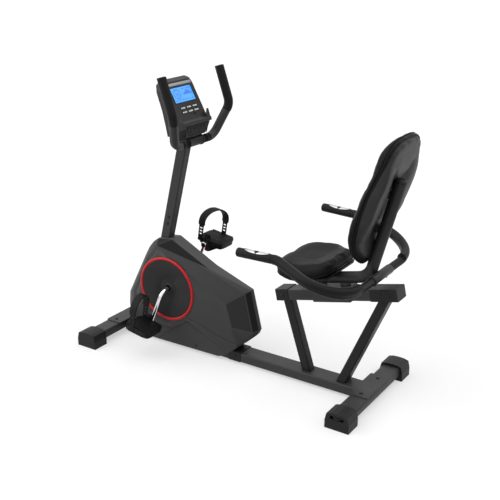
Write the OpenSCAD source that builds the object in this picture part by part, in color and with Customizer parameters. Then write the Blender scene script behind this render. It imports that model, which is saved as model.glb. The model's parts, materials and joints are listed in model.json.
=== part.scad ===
// Recumbent magnetic exercise bike.
// X runs forward, from the seat to the front foot. Y runs to the rider's left. Z is up.
// The origin is on the floor, at the middle of the bike's length and width.
// All lengths are in millimetres and all angles in degrees.

/* [Base] */
// Distance between the centres of the two feet
foot_span = 1248; // [1150:2:1520]
// Overall width of each foot, over its end caps
foot_width = 552; // [460:2:680]
// Front-to-back size of a foot tube
foot_tube_d = 76; // [64:1:84]
// Height of a foot tube
foot_tube_h = 39; // [34:1:44]
// Front-to-back size of an end cap
cap_d = 101; // [96:1:122]
// Length of an end cap along the foot
cap_len = 76; // [74:1:92]
// Width of the main beam
beam_w = 80; // [66:1:84]
// Height of the main beam
beam_h = 41; // [34:1:50]
// Wall of every steel tube
tube_wall = 2; // [1.5:0.1:3]

/* [Seat support] */
// Width of the seat rail
rail_w = 69; // [58:1:83]
// Height of the seat rail
rail_h = 44; // [37:1:53]
// Length of the seat rail
rail_len = 528; // [500:1:640]
// Rise of the seat rail towards the rear, as an angle
rail_angle = 12.7; // [10:0.1:15]
// Length of the carriage that slides on the rail
carriage_len = 163; // [136:1:196]

/* [Seat] */
// Width of the seat cushion
seat_w = 366; // [306:1:440]
// Depth of the seat cushion
seat_depth = 242; // [202:1:280]
// Thickness of the seat cushion
seat_thick = 46; // [38:1:54]
// Width of the back cushion
back_w = 330; // [276:1:396]
// Diameter of the seat post tube
post_d = 46; // [39:0.5:48]

/* [Handlebars] */
// Diameter of both handlebar tubes
bar_d = 32; // [27:0.5:38]
// Distance between the side grips, centre to centre
side_grip_span = 646; // [620:2:780]
// Distance between the front grips, centre to centre
front_grip_span = 380; // [320:2:456]

/* [Mast] */
// Front-to-back size of the mast tube
mast_d = 46; // [39:0.5:56]
// Width of the mast tube
mast_w = 40; // [34:0.5:48]
// Backward lean of the mast
mast_lean = 14; // [12:0.1:16]

/* [Casing] */
// Half of the casing's width at its sides
casing_half_w = 70; // [66:1:84]
// Thickness of the casing's wall
casing_wall = 2.5; // [2:0.1:3.5]
// Outer diameter of the coloured ring on each side
ring_d = 283; // [240:1:300]

/* [Crank and pedals] */
// Crank length, from the crank axis to a pedal's axis
crank_len = 165; // [138:1:175]
// Diameter of the crank rod
crank_rod_d = 16; // [13.5:0.5:19]
// Angle of the left crank, forward of straight down
crank_angle = 20.5; // [0:0.5:45]
// Width of a pedal, along its spindle
pedal_w = 100; // [84:1:120]
// Length of a pedal, from front to back
pedal_len = 106; // [90:1:127]

/* [Drive] */
// Diameter of the large pulley on the crank
pulley_d = 210; // [175:1:240]
// Diameter of the flywheel
flywheel_d = 220; // [184:1:230]
// Diameter of the small pulley on the flywheel
small_pulley_d = 30; // [25:1:36]
// Thickness of the drive belt
belt_t = 3; // [2:0.1:4]

/* [Console] */
// Width of the console's housing
console_w = 176; // [160:1:210]
// Width of the screen
screen_w = 130; // [108:1:140]
// Height of the screen
screen_h = 62; // [52:1:66]
// Width of a key
key_w = 32; // [27:1:36]
// Height of a key
key_h = 10; // [8:0.5:12]

/* [Hidden] */
$fn = 64;

// Clearances
gap_slide = 0.5;     // between the carriage's liners and the rail
gap_move = 0.4;      // between pieces that move past each other
gap_run = 0.05;      // radial running clearance of a shaft
gap_soft = 0.3;      // between a cushion and what carries it

// Paint colours
frame_colour = "#2f2d2e";
casing_colour = "#3a393a";
dark_colour = "#1b1a1b";
ring_colour = "#c8343a";
steel_colour = "#b9bcc0";
screen_colour = "#3f9cf0";

// Where the two groups of parts stand along the bike
rear_reach = 126.3;    // how far the back cushion stands behind the rear foot's centre
wheel_reach = 60;    // how far the transport wheels stand ahead of the front foot's centre
rear_x = -(foot_span + wheel_reach - rear_reach) / 2;
front_x = rear_x + foot_span;

// Base
foot_lift = 18;
foot_top = foot_lift + foot_tube_h;
beam_lift = 12;
beam_top = beam_lift + beam_h;
beam_corner = 5;
foot_corner = 9;
saddle_t = 4;
saddle_half_len = 98;
saddle_bolt_y = 73;
cap_in = foot_width / 2 - cap_len;
tube_end = cap_in + 17;
web_t = 4;
beam_end = foot_tube_d / 2 + web_t;
foot_bolt_r = 4;
foot_bolt_head_r = 9;

// A 2D rectangle with round corners, centred
module round_rect(w, h, r) {
    square([w - 2 * r, h], center = true);
    square([w, h - 2 * r], center = true);
    for (sx = [-1, 1], sy = [-1, 1])
        translate([sx * (w / 2 - r), sy * (h / 2 - r)]) circle(r);
}

// A 2D tube section with round corners, centred
module tube_section(w, h, r, wall) {
    difference() {
        round_rect(w, h, r);
        round_rect(w - 2 * wall, h - 2 * wall, max(r - wall, 0.5));
    }
}

// Turns what is drawn in X and Y up into the X and Z plane, and runs it from y0 to y1
module along_y(y0, y1) {
    translate([0, y1, 0]) rotate([90, 0, 0]) linear_extrude(y1 - y0) children();
}

// A shaft, disc or boss along Y
module rod_y(x, z, r, y0, y1) {
    translate([x, y0, z]) rotate([-90, 0, 0]) cylinder(h = y1 - y0, r = r);
}

// A body turned about the Y axis, from an outline in radius and distance along Y
module turned_y(x, z) {
    translate([x, 0, z]) rotate([-90, 0, 0]) rotate_extrude($fn = 128) children();
}

module both_sides() {
    children();
    mirror([0, 1, 0]) children();
}

// Vector helpers
function unit(v) = v / norm(v);
function turn_frame(x, y, z, at) = [
    [x[0], y[0], z[0], at[0]], [x[1], y[1], z[1], at[1]], [x[2], y[2], z[2], at[2]], [0, 0, 0, 1],
];
function any_normal(z) = abs(z[0]) < 0.9 ? unit(cross(z, [1, 0, 0])) : unit(cross(z, [0, 1, 0]));

// A straight stretch of round bar from a to b
module bar_run(a, b, r) {
    d = unit(b - a);
    n = any_normal(d);
    multmatrix(turn_frame(n, cross(d, n), d, a)) cylinder(h = norm(b - a), r = r);
}

// A bend of a bar round the corner at p, between the directions u and v
module bar_bend(p, u, v, bend_r, r) {
    turn = acos(u * v);
    w = unit(v - u * (u * v));
    centre = p - bend_r * tan(turn / 2) * u + bend_r * w;
    multmatrix(turn_frame(-w, u, cross(-w, u), centre))
        rotate_extrude(angle = turn) translate([bend_r, 0]) circle(r);
}

// A bar bent along the points in path; bends[i] is the radius at path[i + 1].
// The straight stretches run a little way into the bends, which are a trace thicker.
bend_lap = 1.5;
bend_swell = 0.15;
module bent_bar(path, bends, r) {
    last = len(path) - 1;
    dirs = [for (i = [0:last - 1]) unit(path[i + 1] - path[i])];
    cuts = [for (i = [0:last]) i == 0 || i == last ? 0
        : bends[i - 1] * tan(acos(dirs[i - 1] * dirs[i]) / 2) - bend_lap];
    for (i = [0:last - 1])
        bar_run(path[i] + cuts[i] * dirs[i], path[i + 1] - cuts[i + 1] * dirs[i], r);
    for (i = [1:last - 1])
        bar_bend(path[i], dirs[i - 1], dirs[i], bends[i - 1], r + bend_swell);
}

// A closed 2D outline moved inward by t; the outline runs anticlockwise
function inset_point(a, b, c, t) =
    let (u = unit(b - a), v = unit(c - b), m = [-u[1] - v[1], u[0] + v[0]])
    b + t * m * 2 / (m * m);
function inset(path, t) = [for (i = [0:len(path) - 1])
    inset_point(path[(i + len(path) - 1) % len(path)], path[i], path[(i + 1) % len(path)], t)];

// ---------------------------------------------------------------- base

module foot_profile(w, h) {
    groove = 2;
    difference() {
        tube_section(w, h, foot_corner, tube_wall);
        for (s = [-1, 1]) translate([s * w / 2, h / 2 - 12]) square([groove, 3], center = true);
    }
}

module main_beam() color(frame_colour) {
    translate([rear_x + beam_end, 0, beam_lift + beam_h / 2]) rotate([0, 90, 0]) rotate([0, 0, 90])
        linear_extrude(foot_span - 2 * beam_end) tube_section(beam_w, beam_h, beam_corner, tube_wall);
    foot_saddle(rear_x, 1);
    foot_saddle(front_x, -1);
}

// The plate that the beam is welded to, over a foot; side is the beam's side of the foot
module foot_saddle(x, side) {
    reach = foot_tube_d / 2 - 2;
    difference() {
        translate([x, 0, foot_top]) linear_extrude(saddle_t)
            translate([side * (beam_end - reach) / 2, 0])
                round_rect(beam_end + reach, 2 * saddle_half_len, 6);
        for (s = [-1, 1]) translate([x, s * saddle_bolt_y, foot_top - 1])
            cylinder(h = saddle_t + 2, r = foot_bolt_r + gap_move);
    }
    translate([x + side * (beam_end - web_t / 2), 0, (beam_lift + foot_top) / 2])
        cube([web_t, beam_w + 30, foot_top - beam_lift], center = true);
}

module foot_tubes() color(frame_colour)
    for (x = [rear_x, front_x]) difference() {
        translate([x, 0, foot_lift + foot_tube_h / 2])
            along_y(-tube_end, tube_end) foot_profile(foot_tube_d, foot_tube_h);
        for (s = [-1, 1]) translate([x, s * saddle_bolt_y, foot_lift - 1])
            cylinder(h = foot_tube_h + 2, r = foot_bolt_r + gap_move);
    }

// End caps
cap_shoulder = 34;
cap_brow = 62;
cap_crown = 69;
cap_brow_in = 7;
function cap_outline() = let (half = cap_d / 2) [
    [-half, 0], [half, 0], [half, cap_shoulder], [half - cap_brow_in, cap_brow],
    [half / 2, cap_crown - 1.5], [0, cap_crown], [-half / 2, cap_crown - 1.5],
    [-half + cap_brow_in, cap_brow], [-half, cap_shoulder],
];

module foot_cap(x) {
    difference() {
        translate([x, 0, 0]) along_y(cap_in, foot_width / 2) polygon(cap_outline());
        translate([x, 0, foot_lift + foot_tube_h / 2]) along_y(cap_in - 1, tube_end)
            round_rect(foot_tube_d, foot_tube_h, foot_corner);
    }
}

leveller_r = 27;
leveller_y = foot_width / 2 - leveller_r + 1;
leveller_z = 45;
leveller_t = 9;
leveller_stem_r = 5;
leveller_pad_r = 14;
leveller_pad_h = 6;

module rear_foot_caps() color(dark_colour) both_sides() difference() {
    foot_cap(rear_x);
    translate([rear_x, leveller_y, leveller_z - 3])
        linear_extrude(leveller_t + 6) {
            circle(leveller_r + 1.5);
            translate([-leveller_r - 1.5, 0]) square([2 * leveller_r + 3, leveller_r + 2]);
        }
    translate([rear_x, leveller_y, -1]) cylinder(h = leveller_z, r = leveller_stem_r + gap_run);
    translate([rear_x, leveller_y, -1])
        cylinder(h = leveller_pad_h + 3, r = leveller_pad_r + 1);
}

module leveller() color(dark_colour) {
    translate([rear_x, leveller_y, leveller_z]) difference() {
        cylinder(h = leveller_t, r = leveller_r);
        for (a = [0:20:340]) rotate(a) translate([leveller_r + 1, 0, -1])
            cylinder(h = leveller_t + 2, r = 2.4);
    }
    translate([rear_x, leveller_y, 1]) cylinder(h = leveller_z, r = leveller_stem_r);
    translate([rear_x, leveller_y, 0.4]) cylinder(h = leveller_pad_h, r = leveller_pad_r);
}

wheel_r = 22;
wheel_w = 24;
wheel_x = front_x + wheel_reach - wheel_r;
wheel_z = 27;
wheel_y = foot_width / 2 - 10 - wheel_w / 2;
wheel_pin_r = 4;

module front_foot_caps() color(dark_colour) both_sides() {
    difference() {
        foot_cap(front_x);
        translate([wheel_x - wheel_r - 2, wheel_y - wheel_w / 2 - 1, -1])
            cube([2 * wheel_r + 10, wheel_w + 2, wheel_z + wheel_r + 3]);
    }
    rod_y(wheel_x, wheel_z, wheel_pin_r, wheel_y - wheel_w / 2 - 1, wheel_y + wheel_w / 2 + 1);
}

module transport_wheel() color("#454548") {
    turned_y(wheel_x, wheel_z) translate([0, wheel_y])
        polygon([[wheel_pin_r + gap_run, -wheel_w / 2 + 0.5], [wheel_r - 2, -wheel_w / 2 + 0.5],
            [wheel_r, -wheel_w / 2 + 3], [wheel_r, wheel_w / 2 - 3],
            [wheel_r - 2, wheel_w / 2 - 0.5], [wheel_pin_r + gap_run, wheel_w / 2 - 0.5]]);
}

module leveller_left() leveller();
module leveller_right() mirror([0, 1, 0]) leveller();
module transport_wheel_left() transport_wheel();
module transport_wheel_right() mirror([0, 1, 0]) transport_wheel();

// Bolts across a piece: a domed head, a shank and a nut, along Z from z0 to z1
module dome_bolt(r, head_r, z0, z1) {
    translate([0, 0, z0 - 6]) cylinder(h = 6, r = head_r * 0.9, $fn = 6);
    translate([0, 0, z0]) rotate_extrude() polygon([[0, 0], [r, 0], [r, z1 - z0], [head_r, z1 - z0],
        [head_r * 0.8, z1 - z0 + 2.6], [head_r * 0.4, z1 - z0 + 3.8], [0, z1 - z0 + 4]]);
}

mast_bolt_z = [560, 590];

module frame_bolts() color(dark_colour) {
    for (x = [rear_x, front_x], s = [-1, 1]) translate([x, s * saddle_bolt_y, 0])
        dome_bolt(foot_bolt_r, foot_bolt_head_r, foot_lift, foot_top + saddle_t);
    on_rail() for (p = rail_bolts_at) translate([p, 0, rail_h / 2]) rotate([-90, 0, 0])
        dome_bolt(rail_bolt_r, 8, -rail_w / 2 - bracket_wall, rail_w / 2 + bracket_wall);
    for (z = mast_bolt_z) translate([mast_x(z), 0, z]) rotate([-90, 0, 0])
        dome_bolt(4, 7, -mast_w / 2, mast_w / 2);
}

// ---------------------------------------------------------------- seat support

rail_front_x = rear_x + 406;
rail_front_z = 342.6;
bracket_wall = 2.5;
front_bracket_len = 54;
rear_bracket_len = 110;
rail_bolt_r = 4;
rail_bolts_at = [-28, -rail_len + 72, -rail_len + 36];
seat_offset = 169;   // from the rail's front end back to the carriage

// Rail frame: X along the rail (0 at its front end, negative behind), Z square to it
module on_rail() {
    translate([rail_front_x, 0, rail_front_z]) rotate([0, rail_angle, 0]) children();
}
function rail_point(s, n) = [rail_front_x + s * cos(rail_angle) + n * sin(rail_angle), 0,
    rail_front_z - s * sin(rail_angle) + n * cos(rail_angle)];

module along_x(x0, x1) {
    translate([x0, 0, 0]) rotate([90, 0, 90]) linear_extrude(x1 - x0) children();
}

module seat_rail() color(frame_colour) on_rail() difference() {
    translate([0, 0, rail_h / 2]) along_x(-rail_len, 0) tube_section(rail_w, rail_h, 3, tube_wall);
    for (p = rail_bolts_at) rod_y(p, rail_h / 2, rail_bolt_r + gap_move, -rail_w, rail_w);
}

// The sleeve welded on a strut, over the rail from s0 to s1, closed at closed_end
module rail_sleeve(s0, s1, closed_end) {
    difference() {
        translate([0, 0, rail_h / 2]) along_x(s0, s1)
            tube_section(rail_w + 2 * bracket_wall, rail_h + 2 * bracket_wall, 4, bracket_wall);
        for (p = rail_bolts_at) rod_y(p, rail_h / 2, rail_bolt_r + gap_move, -rail_w, rail_w);
    }
    translate([0, 0, rail_h / 2]) along_x(closed_end, closed_end + bracket_wall)
        round_rect(rail_w + 2 * bracket_wall, rail_h + 2 * bracket_wall, 4);
}

front_strut_foot = 276;  // ahead of the rear foot, where the strut meets the beam
front_strut_lean = 17.8;
front_strut_d = 38;
front_strut_w = 40;
rear_strut_foot = 115;
rear_strut_lean = 23;
rear_strut_d = 38;
rear_strut_w = 54;

// A strut from the beam up to the underside of the rail's sleeve; lean is forward of upright
module strut(foot, lean, d, w) {
    intersection() {
        translate([rear_x + foot, 0, beam_top]) rotate([0, lean, 0]) translate([0, 0, -40])
            linear_extrude(600) tube_section(d, w, 5, tube_wall);
        under_rail();
    }
}

// The space above the beam and below the rail's sleeves
module under_rail() {
    along_y(-60, 60) polygon([[rear_x - 180, beam_top], [rear_x + 430, beam_top],
        [rail_front_x + 60, rail_front_z - bracket_wall / 2 - 60 * tan(rail_angle)],
        [rail_front_x - rail_len, rail_front_z - bracket_wall / 2 + rail_len * tan(rail_angle)]]);
}

module front_strut() color(frame_colour) {
    strut(front_strut_foot, front_strut_lean, front_strut_d, front_strut_w);
    on_rail() rail_sleeve(-front_bracket_len, 0, 0);
}

module rear_strut() color(frame_colour) {
    strut(rear_strut_foot, -rear_strut_lean, rear_strut_d, rear_strut_w);
    on_rail() rail_sleeve(-rail_len, -rail_len + rear_bracket_len, -rail_len - bracket_wall);
}

// ---------------------------------------------------------------- mast

mast_at_z = 500;
mast_at_x = front_x - 261;
mast_foot_z = 486;
mast_top_z = 1012;
post_fit = 0.1;          // between the lower post and the mast that slides over it
function mast_x(z) = mast_at_x - (z - mast_at_z) * tan(mast_lean);

// Mast frame: Z up along the mast, origin on its centre line at height z
module on_mast(z) {
    translate([mast_x(z), 0, z]) rotate([0, -mast_lean, 0]) children();
}

module mast() color(frame_colour) difference() {
    on_mast(mast_foot_z) linear_extrude((mast_top_z - mast_foot_z) / cos(mast_lean))
        tube_section(mast_d, mast_w, 5, tube_wall);
    for (z = mast_bolt_z) rod_y(mast_x(z), z, 4 + gap_move, -mast_w, mast_w);
}

module lower_post() color(frame_colour) difference() {
    inner_d = mast_d - 2 * tube_wall - 2 * post_fit;
    inner_w = mast_w - 2 * tube_wall - 2 * post_fit;
    intersection() {
        on_mast(beam_top - 30) linear_extrude(620)
            tube_section(inner_d, inner_w, 3, tube_wall);
        translate([-3000, -100, beam_top]) cube([6000, 200, 570]);
    }
    for (z = mast_bolt_z) rod_y(mast_x(z), z, 4 + gap_move, -mast_w, mast_w);
}

// ---------------------------------------------------------------- drive

crank_x = front_x - 308;
crank_z = 283;
shell_r = 22;            // bottom bracket shell
right_plate_y = 19 - casing_half_w;
belt_y0 = right_plate_y + 9;
belt_w = 12;
shell_y0 = belt_y0 + belt_w + 10;
shell_y1 = 32;
cup_t = 8;
fly_x = crank_x - 240;
fly_z = 235;
fly_half_w = 15;
fly_axle_r = 5;
plate_t = 3;
left_plate_y = 22;
brake_pivot_r = flywheel_d / 2 + 15;
brake_pivot_at = 42.7;
brake_pivot_x = fly_x + brake_pivot_r * cos(brake_pivot_at);
brake_pivot_z = fly_z + brake_pivot_r * sin(brake_pivot_at);
step_z = beam_top + 42;  // where the right cheek steps outward
brake_pin_r = 4;

// The belt's run round both pulleys, at a distance outside them
module belt_loop(out) hull() {
    translate([crank_x, crank_z]) circle(pulley_d / 2 + out);
    translate([fly_x, fly_z]) circle(small_pulley_d / 2 + out);
}

module drive_brackets() color("#333335") {
    // Two cheeks and the shell that carry the crank
    for (y = [shell_y0 + 6, shell_y1 - 6 - plate_t]) difference() {
        along_y(y, y + plate_t) polygon([[crank_x - 55, beam_top], [crank_x + 55, beam_top],
            [crank_x + shell_r - 4, crank_z], [crank_x - shell_r + 4, crank_z]]);
        rod_y(crank_x, crank_z, shell_r - 2, y - 1, y + plate_t + 1);
    }
    difference() {
        rod_y(crank_x, crank_z, shell_r, shell_y0, shell_y1);
        rod_y(crank_x, crank_z, shell_r - 3, shell_y0 - 1, shell_y1 + 1);
    }
    translate([crank_x - 60, shell_y0 + 2, beam_top])
        cube([120, shell_y1 - shell_y0 - 4, plate_t]);
    // Base plate and two cheeks that carry the flywheel's axle
    translate([fly_x - 42, -beam_w / 2, beam_top]) cube([84, beam_w, plate_t]);
    translate([fly_x - 42, -beam_w / 2, beam_top]) cube([84, plate_t, step_z - beam_top]);
    translate([fly_x - 24, right_plate_y, step_z - plate_t])
        cube([48, plate_t - beam_w / 2 - right_plate_y, plate_t]);
    fly_plate(right_plate_y, step_z - plate_t, 24);
    difference() {
        union() {
            fly_plate(left_plate_y, beam_top, 42);
            along_y(left_plate_y, left_plate_y + plate_t) {
                translate([fly_x, fly_z]) rotate(brake_pivot_at) translate([0, -13])
                    square([brake_pivot_r, 26]);
                translate([brake_pivot_x, brake_pivot_z]) circle(13);
            }
        }
        rod_y(brake_pivot_x, brake_pivot_z, brake_pin_r + gap_run, 0, 60);
        rod_y(fly_x, fly_z, fly_axle_r + gap_run, 0, 60);
    }
}

// A cheek of the flywheel's bracket, from height z0 up round the axle
module fly_plate(y, z0, half) difference() {
    along_y(y, y + plate_t) {
        polygon([[fly_x - half, z0], [fly_x + half, z0], [fly_x + 18, fly_z], [fly_x - 18, fly_z]]);
        translate([fly_x, fly_z]) circle(18);
    }
    rod_y(fly_x, fly_z, fly_axle_r + gap_run, y - 1, y + plate_t + 1);
}

module crank_bearings() color(steel_colour)
    for (y = [shell_y0 - cup_t + 4, shell_y1 - 4]) difference() {
        union() {
            rod_y(crank_x, crank_z, shell_r - 3, y, y + cup_t);
            rod_y(crank_x, crank_z, shell_r, y < 0 ? y : y + 4, y < 0 ? y + 4 : y + cup_t);
        }
        rod_y(crank_x, crank_z, crank_rod_d / 2 + gap_run, y - 1, y + cup_t + 1);
    }

crank_y = 112;
crank_bend = 38;
eye_r = 13;
eye_y0 = 113;
eye_t = 17;
spindle_r = 6;
spindle_thread_r = 7;

function pedal_axis(side) = [crank_x + side * crank_len * sin(crank_angle), 0,
    crank_z - side * crank_len * cos(crank_angle)];

module crank() color(steel_colour) difference() {
    union() {
        tip = [for (s = [1, -1]) pedal_axis(s) + [0, s * (eye_y0 + eye_t / 2), 0]];
        bent_bar([tip[1], [crank_x, -crank_y, crank_z], [crank_x, crank_y, crank_z], tip[0]],
            [crank_bend, crank_bend], crank_rod_d / 2);
        for (s = [1, -1]) rod_y(pedal_axis(s)[0], pedal_axis(s)[2], eye_r,
            s > 0 ? eye_y0 : -eye_y0 - eye_t, s > 0 ? eye_y0 + eye_t : -eye_y0);
    }
    for (s = [1, -1]) rod_y(pedal_axis(s)[0], pedal_axis(s)[2], spindle_thread_r + gap_run, -200, 200);
}

hub_r = 16;
module drive_pulley() color("#2a2a2c") difference() {
    turned_y(crank_x, crank_z) {
        translate([crank_rod_d / 2 + gap_run, belt_y0 - 2])
            square([hub_r - crank_rod_d / 2 - gap_run, belt_w + 4]);
        translate([hub_r - 1, belt_y0 + 4]) square([pulley_d / 2 - hub_r - 4, 4]);
        translate([pulley_d / 2 - 6, belt_y0]) square([6, belt_w]);
    }
    for (a = [0:60:300]) rotate_about(crank_x, crank_z, a)
        rod_y(crank_x + pulley_d / 4 + 6, crank_z, pulley_d / 12, -90, 0);
}

module rotate_about(x, z, a) {
    translate([x, 0, z]) rotate([0, a, 0]) translate([-x, 0, -z]) children();
}

module drive_belt() color("#141414") along_y(belt_y0 + 1, belt_y0 + belt_w - 1) difference() {
    belt_loop(gap_move + belt_t);
    belt_loop(gap_move);
}

module flywheel_axle() color(steel_colour) {
    rod_y(fly_x, fly_z, fly_axle_r, right_plate_y - 3, left_plate_y + 10);
    difference() {
        translate([fly_x, left_plate_y + plate_t, fly_z]) rotate([-90, 0, 0])
            cylinder(h = 5, r = 9, $fn = 6);
        rod_y(fly_x, fly_z, fly_axle_r - 1, 0, 60);
    }
}

module flywheel() color("#6d6f72") difference() {
    turned_y(fly_x, fly_z) polygon([[fly_axle_r + gap_run, belt_y0], [small_pulley_d / 2, belt_y0],
        [small_pulley_d / 2, belt_y0 + belt_w], [12, belt_y0 + belt_w], [12, -fly_half_w],
        [30, -fly_half_w], [34, -5], [flywheel_d / 2 - 26, -5], [flywheel_d / 2 - 22, -fly_half_w],
        [flywheel_d / 2, -fly_half_w], [flywheel_d / 2, fly_half_w],
        [flywheel_d / 2 - 22, fly_half_w], [flywheel_d / 2 - 26, 5], [34, 5],
        [30, fly_half_w], [fly_axle_r + gap_run, fly_half_w]]);
}

// The brake's magnet carrier: an arc over the flywheel's top, with the pin it turns on
magnet_gap = 2;
magnet_t = 4;
carrier_t = 4;
carrier_w = 32;
arc_from = 44;
arc_to = 122;
module arc_band(r0, r1, a0, a1, half_w) {
    translate([fly_x, 0, fly_z]) rotate([90, 0, 0]) rotate([0, 0, a0]) translate([0, 0, -half_w])
        rotate_extrude(angle = a1 - a0) translate([r0, 0]) square([r1 - r0, 2 * half_w]);
}

carrier_r0 = flywheel_d / 2 + magnet_gap + magnet_t;
module magnet_arm() color(steel_colour) {
    arc_band(carrier_r0, carrier_r0 + carrier_t, arc_from, arc_to, carrier_w / 2);
    rod_y(brake_pivot_x, brake_pivot_z, 11, -carrier_w / 2 - 0.5, carrier_w / 2 + 0.5);
    rod_y(brake_pivot_x, brake_pivot_z, brake_pin_r, 0, left_plate_y + plate_t + 8);
}

module brake_magnets() color("#2c2c2e")
    for (i = [0:4]) arc_band(carrier_r0 - magnet_t, carrier_r0, arc_from + 14 + i * 11,
        arc_from + 22 + i * 11, carrier_w / 2 - 2);

motor_size = [46, 26, 34];
module resistance_motor() color(dark_colour) difference() {
    translate([brake_pivot_x - 14, left_plate_y + plate_t, brake_pivot_z - motor_size[2] / 2])
        cube(motor_size);
    rod_y(brake_pivot_x, brake_pivot_z, brake_pin_r + gap_run, 0, left_plate_y + plate_t + 9);
}

// ---------------------------------------------------------------- casing

ring_w = 8;
ring_out = 4.5;          // how far the ring stands out from the side
pod_y = casing_half_w + 10;
pod_r = ring_d / 2 + 4;
casing_mid = [front_x - 380, 250];
skirt_y = beam_w / 2 + 5;
skirt_screws_x = [front_x - 440, front_x - 110];
skirt_screw_z = beam_lift + 24;
screw_r = 2.5;
screw_head_y = skirt_y + 6.4;
collar_t = 2;
collar_x0 = front_x - 664;
collar_len = 60;
collar_top = beam_top + collar_t;
socket_x = front_x - 59.4;
socket_z = 100;
socket_r = 6;

// Corners of the casing's left half, at x ahead of the front foot's centre, as [x, y, z]
casing_front_corners = [
    [-306, 32, 499], [-478, 26, 412], [-230, 32, 491], [-160, 38, 397], [-63, 42, 203],
    [-58, 42, 150], [-62, skirt_y - 1, 60], [-68, skirt_y, 14], [-288, casing_half_w - 4, 458],
    [-239, casing_half_w - 6, 452], [-183, casing_half_w - 4, 395], [-108, casing_half_w - 2, 230],
    [-103, casing_half_w - 4, 150], [-128, casing_half_w - 10, 80], [-405, casing_half_w, 373],
    [-478, casing_half_w - 3, 340], [-478, casing_half_w - 5, 100], [-478, skirt_y, 14],
];
casing_rear_corners = [
    [-460, 25, 418], [-679, 30, 329], [-698, 10, 341], [-739, 10, 169], [-717, 30, 161],
    [-713, 12, 131], [-675, 26, 98], [-648, 50, 98], [-643, 30, 77], [-643, skirt_y, 60],
    [-608, skirt_y, 29], [-558, skirt_y, 14], [-460, skirt_y - 2, 18],
    [-460, casing_half_w - 7, 100], [-460, casing_half_w - 5, 340],
    [-607, casing_half_w - 3, 280], [-630, casing_half_w - 12, 173],
];

// One convex part of the casing, moved inward by t
module casing_hull(corners, t) {
    hull() for (c = corners, s = [-1, 1]) {
        at = [front_x + c[0], c[2]];
        in = at - t * unit(at - casing_mid);
        translate([in[0], s * (c[1] - t), in[1]]) cube(0.02, center = true);
    }
}

module casing_solid(t) {
    casing_hull(casing_front_corners, t);
    casing_hull(casing_rear_corners, t);
}

module casing_shell() difference() {
    union() {
        casing_solid(0);
        rod_y(crank_x, crank_z, pod_r, -pod_y, pod_y);
    }
    casing_solid(casing_wall);
    rod_y(crank_x, crank_z, pod_r - casing_wall, -pod_y + casing_wall, pod_y - casing_wall);
    rod_y(crank_x, crank_z, ring_d / 2 - ring_w, -pod_y - 1, pod_y + 1);
    along_x(front_x - 900, front_x) translate([0, (beam_top + gap_soft) / 2 - 5])
        square([beam_w + 2 * gap_soft, beam_top + gap_soft + 10], center = true);
    translate([collar_x0 - gap_soft, 0, collar_top / 2]) along_x(0, collar_len + 2 * gap_soft)
        square([beam_w + 2 * collar_t + 2 * gap_soft, collar_top + 2 * gap_soft], center = true);
    on_mast(mast_foot_z - 60) linear_extrude(200)
        square([mast_d + 2 * gap_move, mast_w + 2 * gap_move], center = true);
    translate([socket_x - 20, 0, socket_z]) rotate([0, 90, 0])
        cylinder(h = 40, r = socket_r + gap_soft);
    for (x = skirt_screws_x) rod_y(x, skirt_screw_z, screw_r + gap_soft, -pod_y, pod_y);
}

module casing_left() color(casing_colour) intersection() {
    casing_shell();
    translate([front_x - 900, 0, 0]) cube([1000, 200, 700]);
}

module casing_right() color(casing_colour) intersection() {
    casing_shell();
    translate([front_x - 900, -200, 0]) cube([1000, 200, 700]);
}

dish_depth = 14;
hub_hole_r = crank_rod_d / 2 + 5;
module disc_covers() color("#2b2a2b") both_sides() turned_y(crank_x, crank_z) {
    rim = ring_d / 2 - ring_w - 0.2;
    polygon([[hub_hole_r, pod_y - dish_depth - 3], [40, pod_y - dish_depth - 3], [rim, pod_y - 2.5],
        [rim, pod_y + 1.5], [rim - 6, pod_y + 1.5], [42, pod_y - dish_depth],
        [hub_hole_r + 9, pod_y - dish_depth], [hub_hole_r + 7, pod_y - dish_depth + 3],
        [hub_hole_r, pod_y - dish_depth + 3]]);
}

module ring_trims() color(ring_colour) both_sides() turned_y(crank_x, crank_z) difference() {
    translate([ring_d / 2 - ring_w, pod_y]) square([ring_w, ring_out]);
    translate([ring_d / 2 - ring_w, pod_y + ring_out]) rotate(45) square(3, center = true);
    translate([ring_d / 2, pod_y + ring_out]) rotate(45) square(3, center = true);
}

// Screws that hold the casing's skirt to the beam
module cover_screws() color(dark_colour) both_sides() for (x = skirt_screws_x) {
    rod_y(x, skirt_screw_z, screw_r, beam_w / 2, screw_head_y);
    rod_y(x, skirt_screw_z, 2 * screw_r, screw_head_y, screw_head_y + 2);
}

// The strap round the beam under the casing's rear edge, with a bolt on each side
module beam_collar() color(dark_colour) {
    translate([0, 0, (beam_lift + 1 + collar_top) / 2]) along_x(collar_x0, collar_x0 + collar_len)
        difference() {
            square([beam_w + 2 * collar_t, collar_top - beam_lift - 1], center = true);
            translate([0, -collar_t]) square([beam_w, collar_top - beam_lift - 1], center = true);
        }
    both_sides() rod_y(collar_x0 + 28, beam_lift + 25, 5, beam_w / 2 + collar_t,
        beam_w / 2 + collar_t + 3);
}

module power_socket() color(dark_colour) translate([socket_x, 0, socket_z]) rotate([0, 90, 0])
    difference() {
        union() {
            translate([0, 0, -16]) cylinder(h = 18, r = socket_r);
            cylinder(h = 2, r = socket_r + 3);
        }
        translate([0, 0, -12]) cylinder(h = 20, r = 3);
    }

// ---------------------------------------------------------------- pedals

pedal_y0 = eye_y0 + eye_t + 7;
pedal_tilt = -9;
pedal_t = 20;
spindle_tip = pedal_y0 + pedal_w - 8;
weight_drop = 55;
weight_w = 34;
ear_half = 16;
ear_top = 34;
ear_t = 4;
strap_w = 28;
strap_t = 3;
strap_top = 130;

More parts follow.
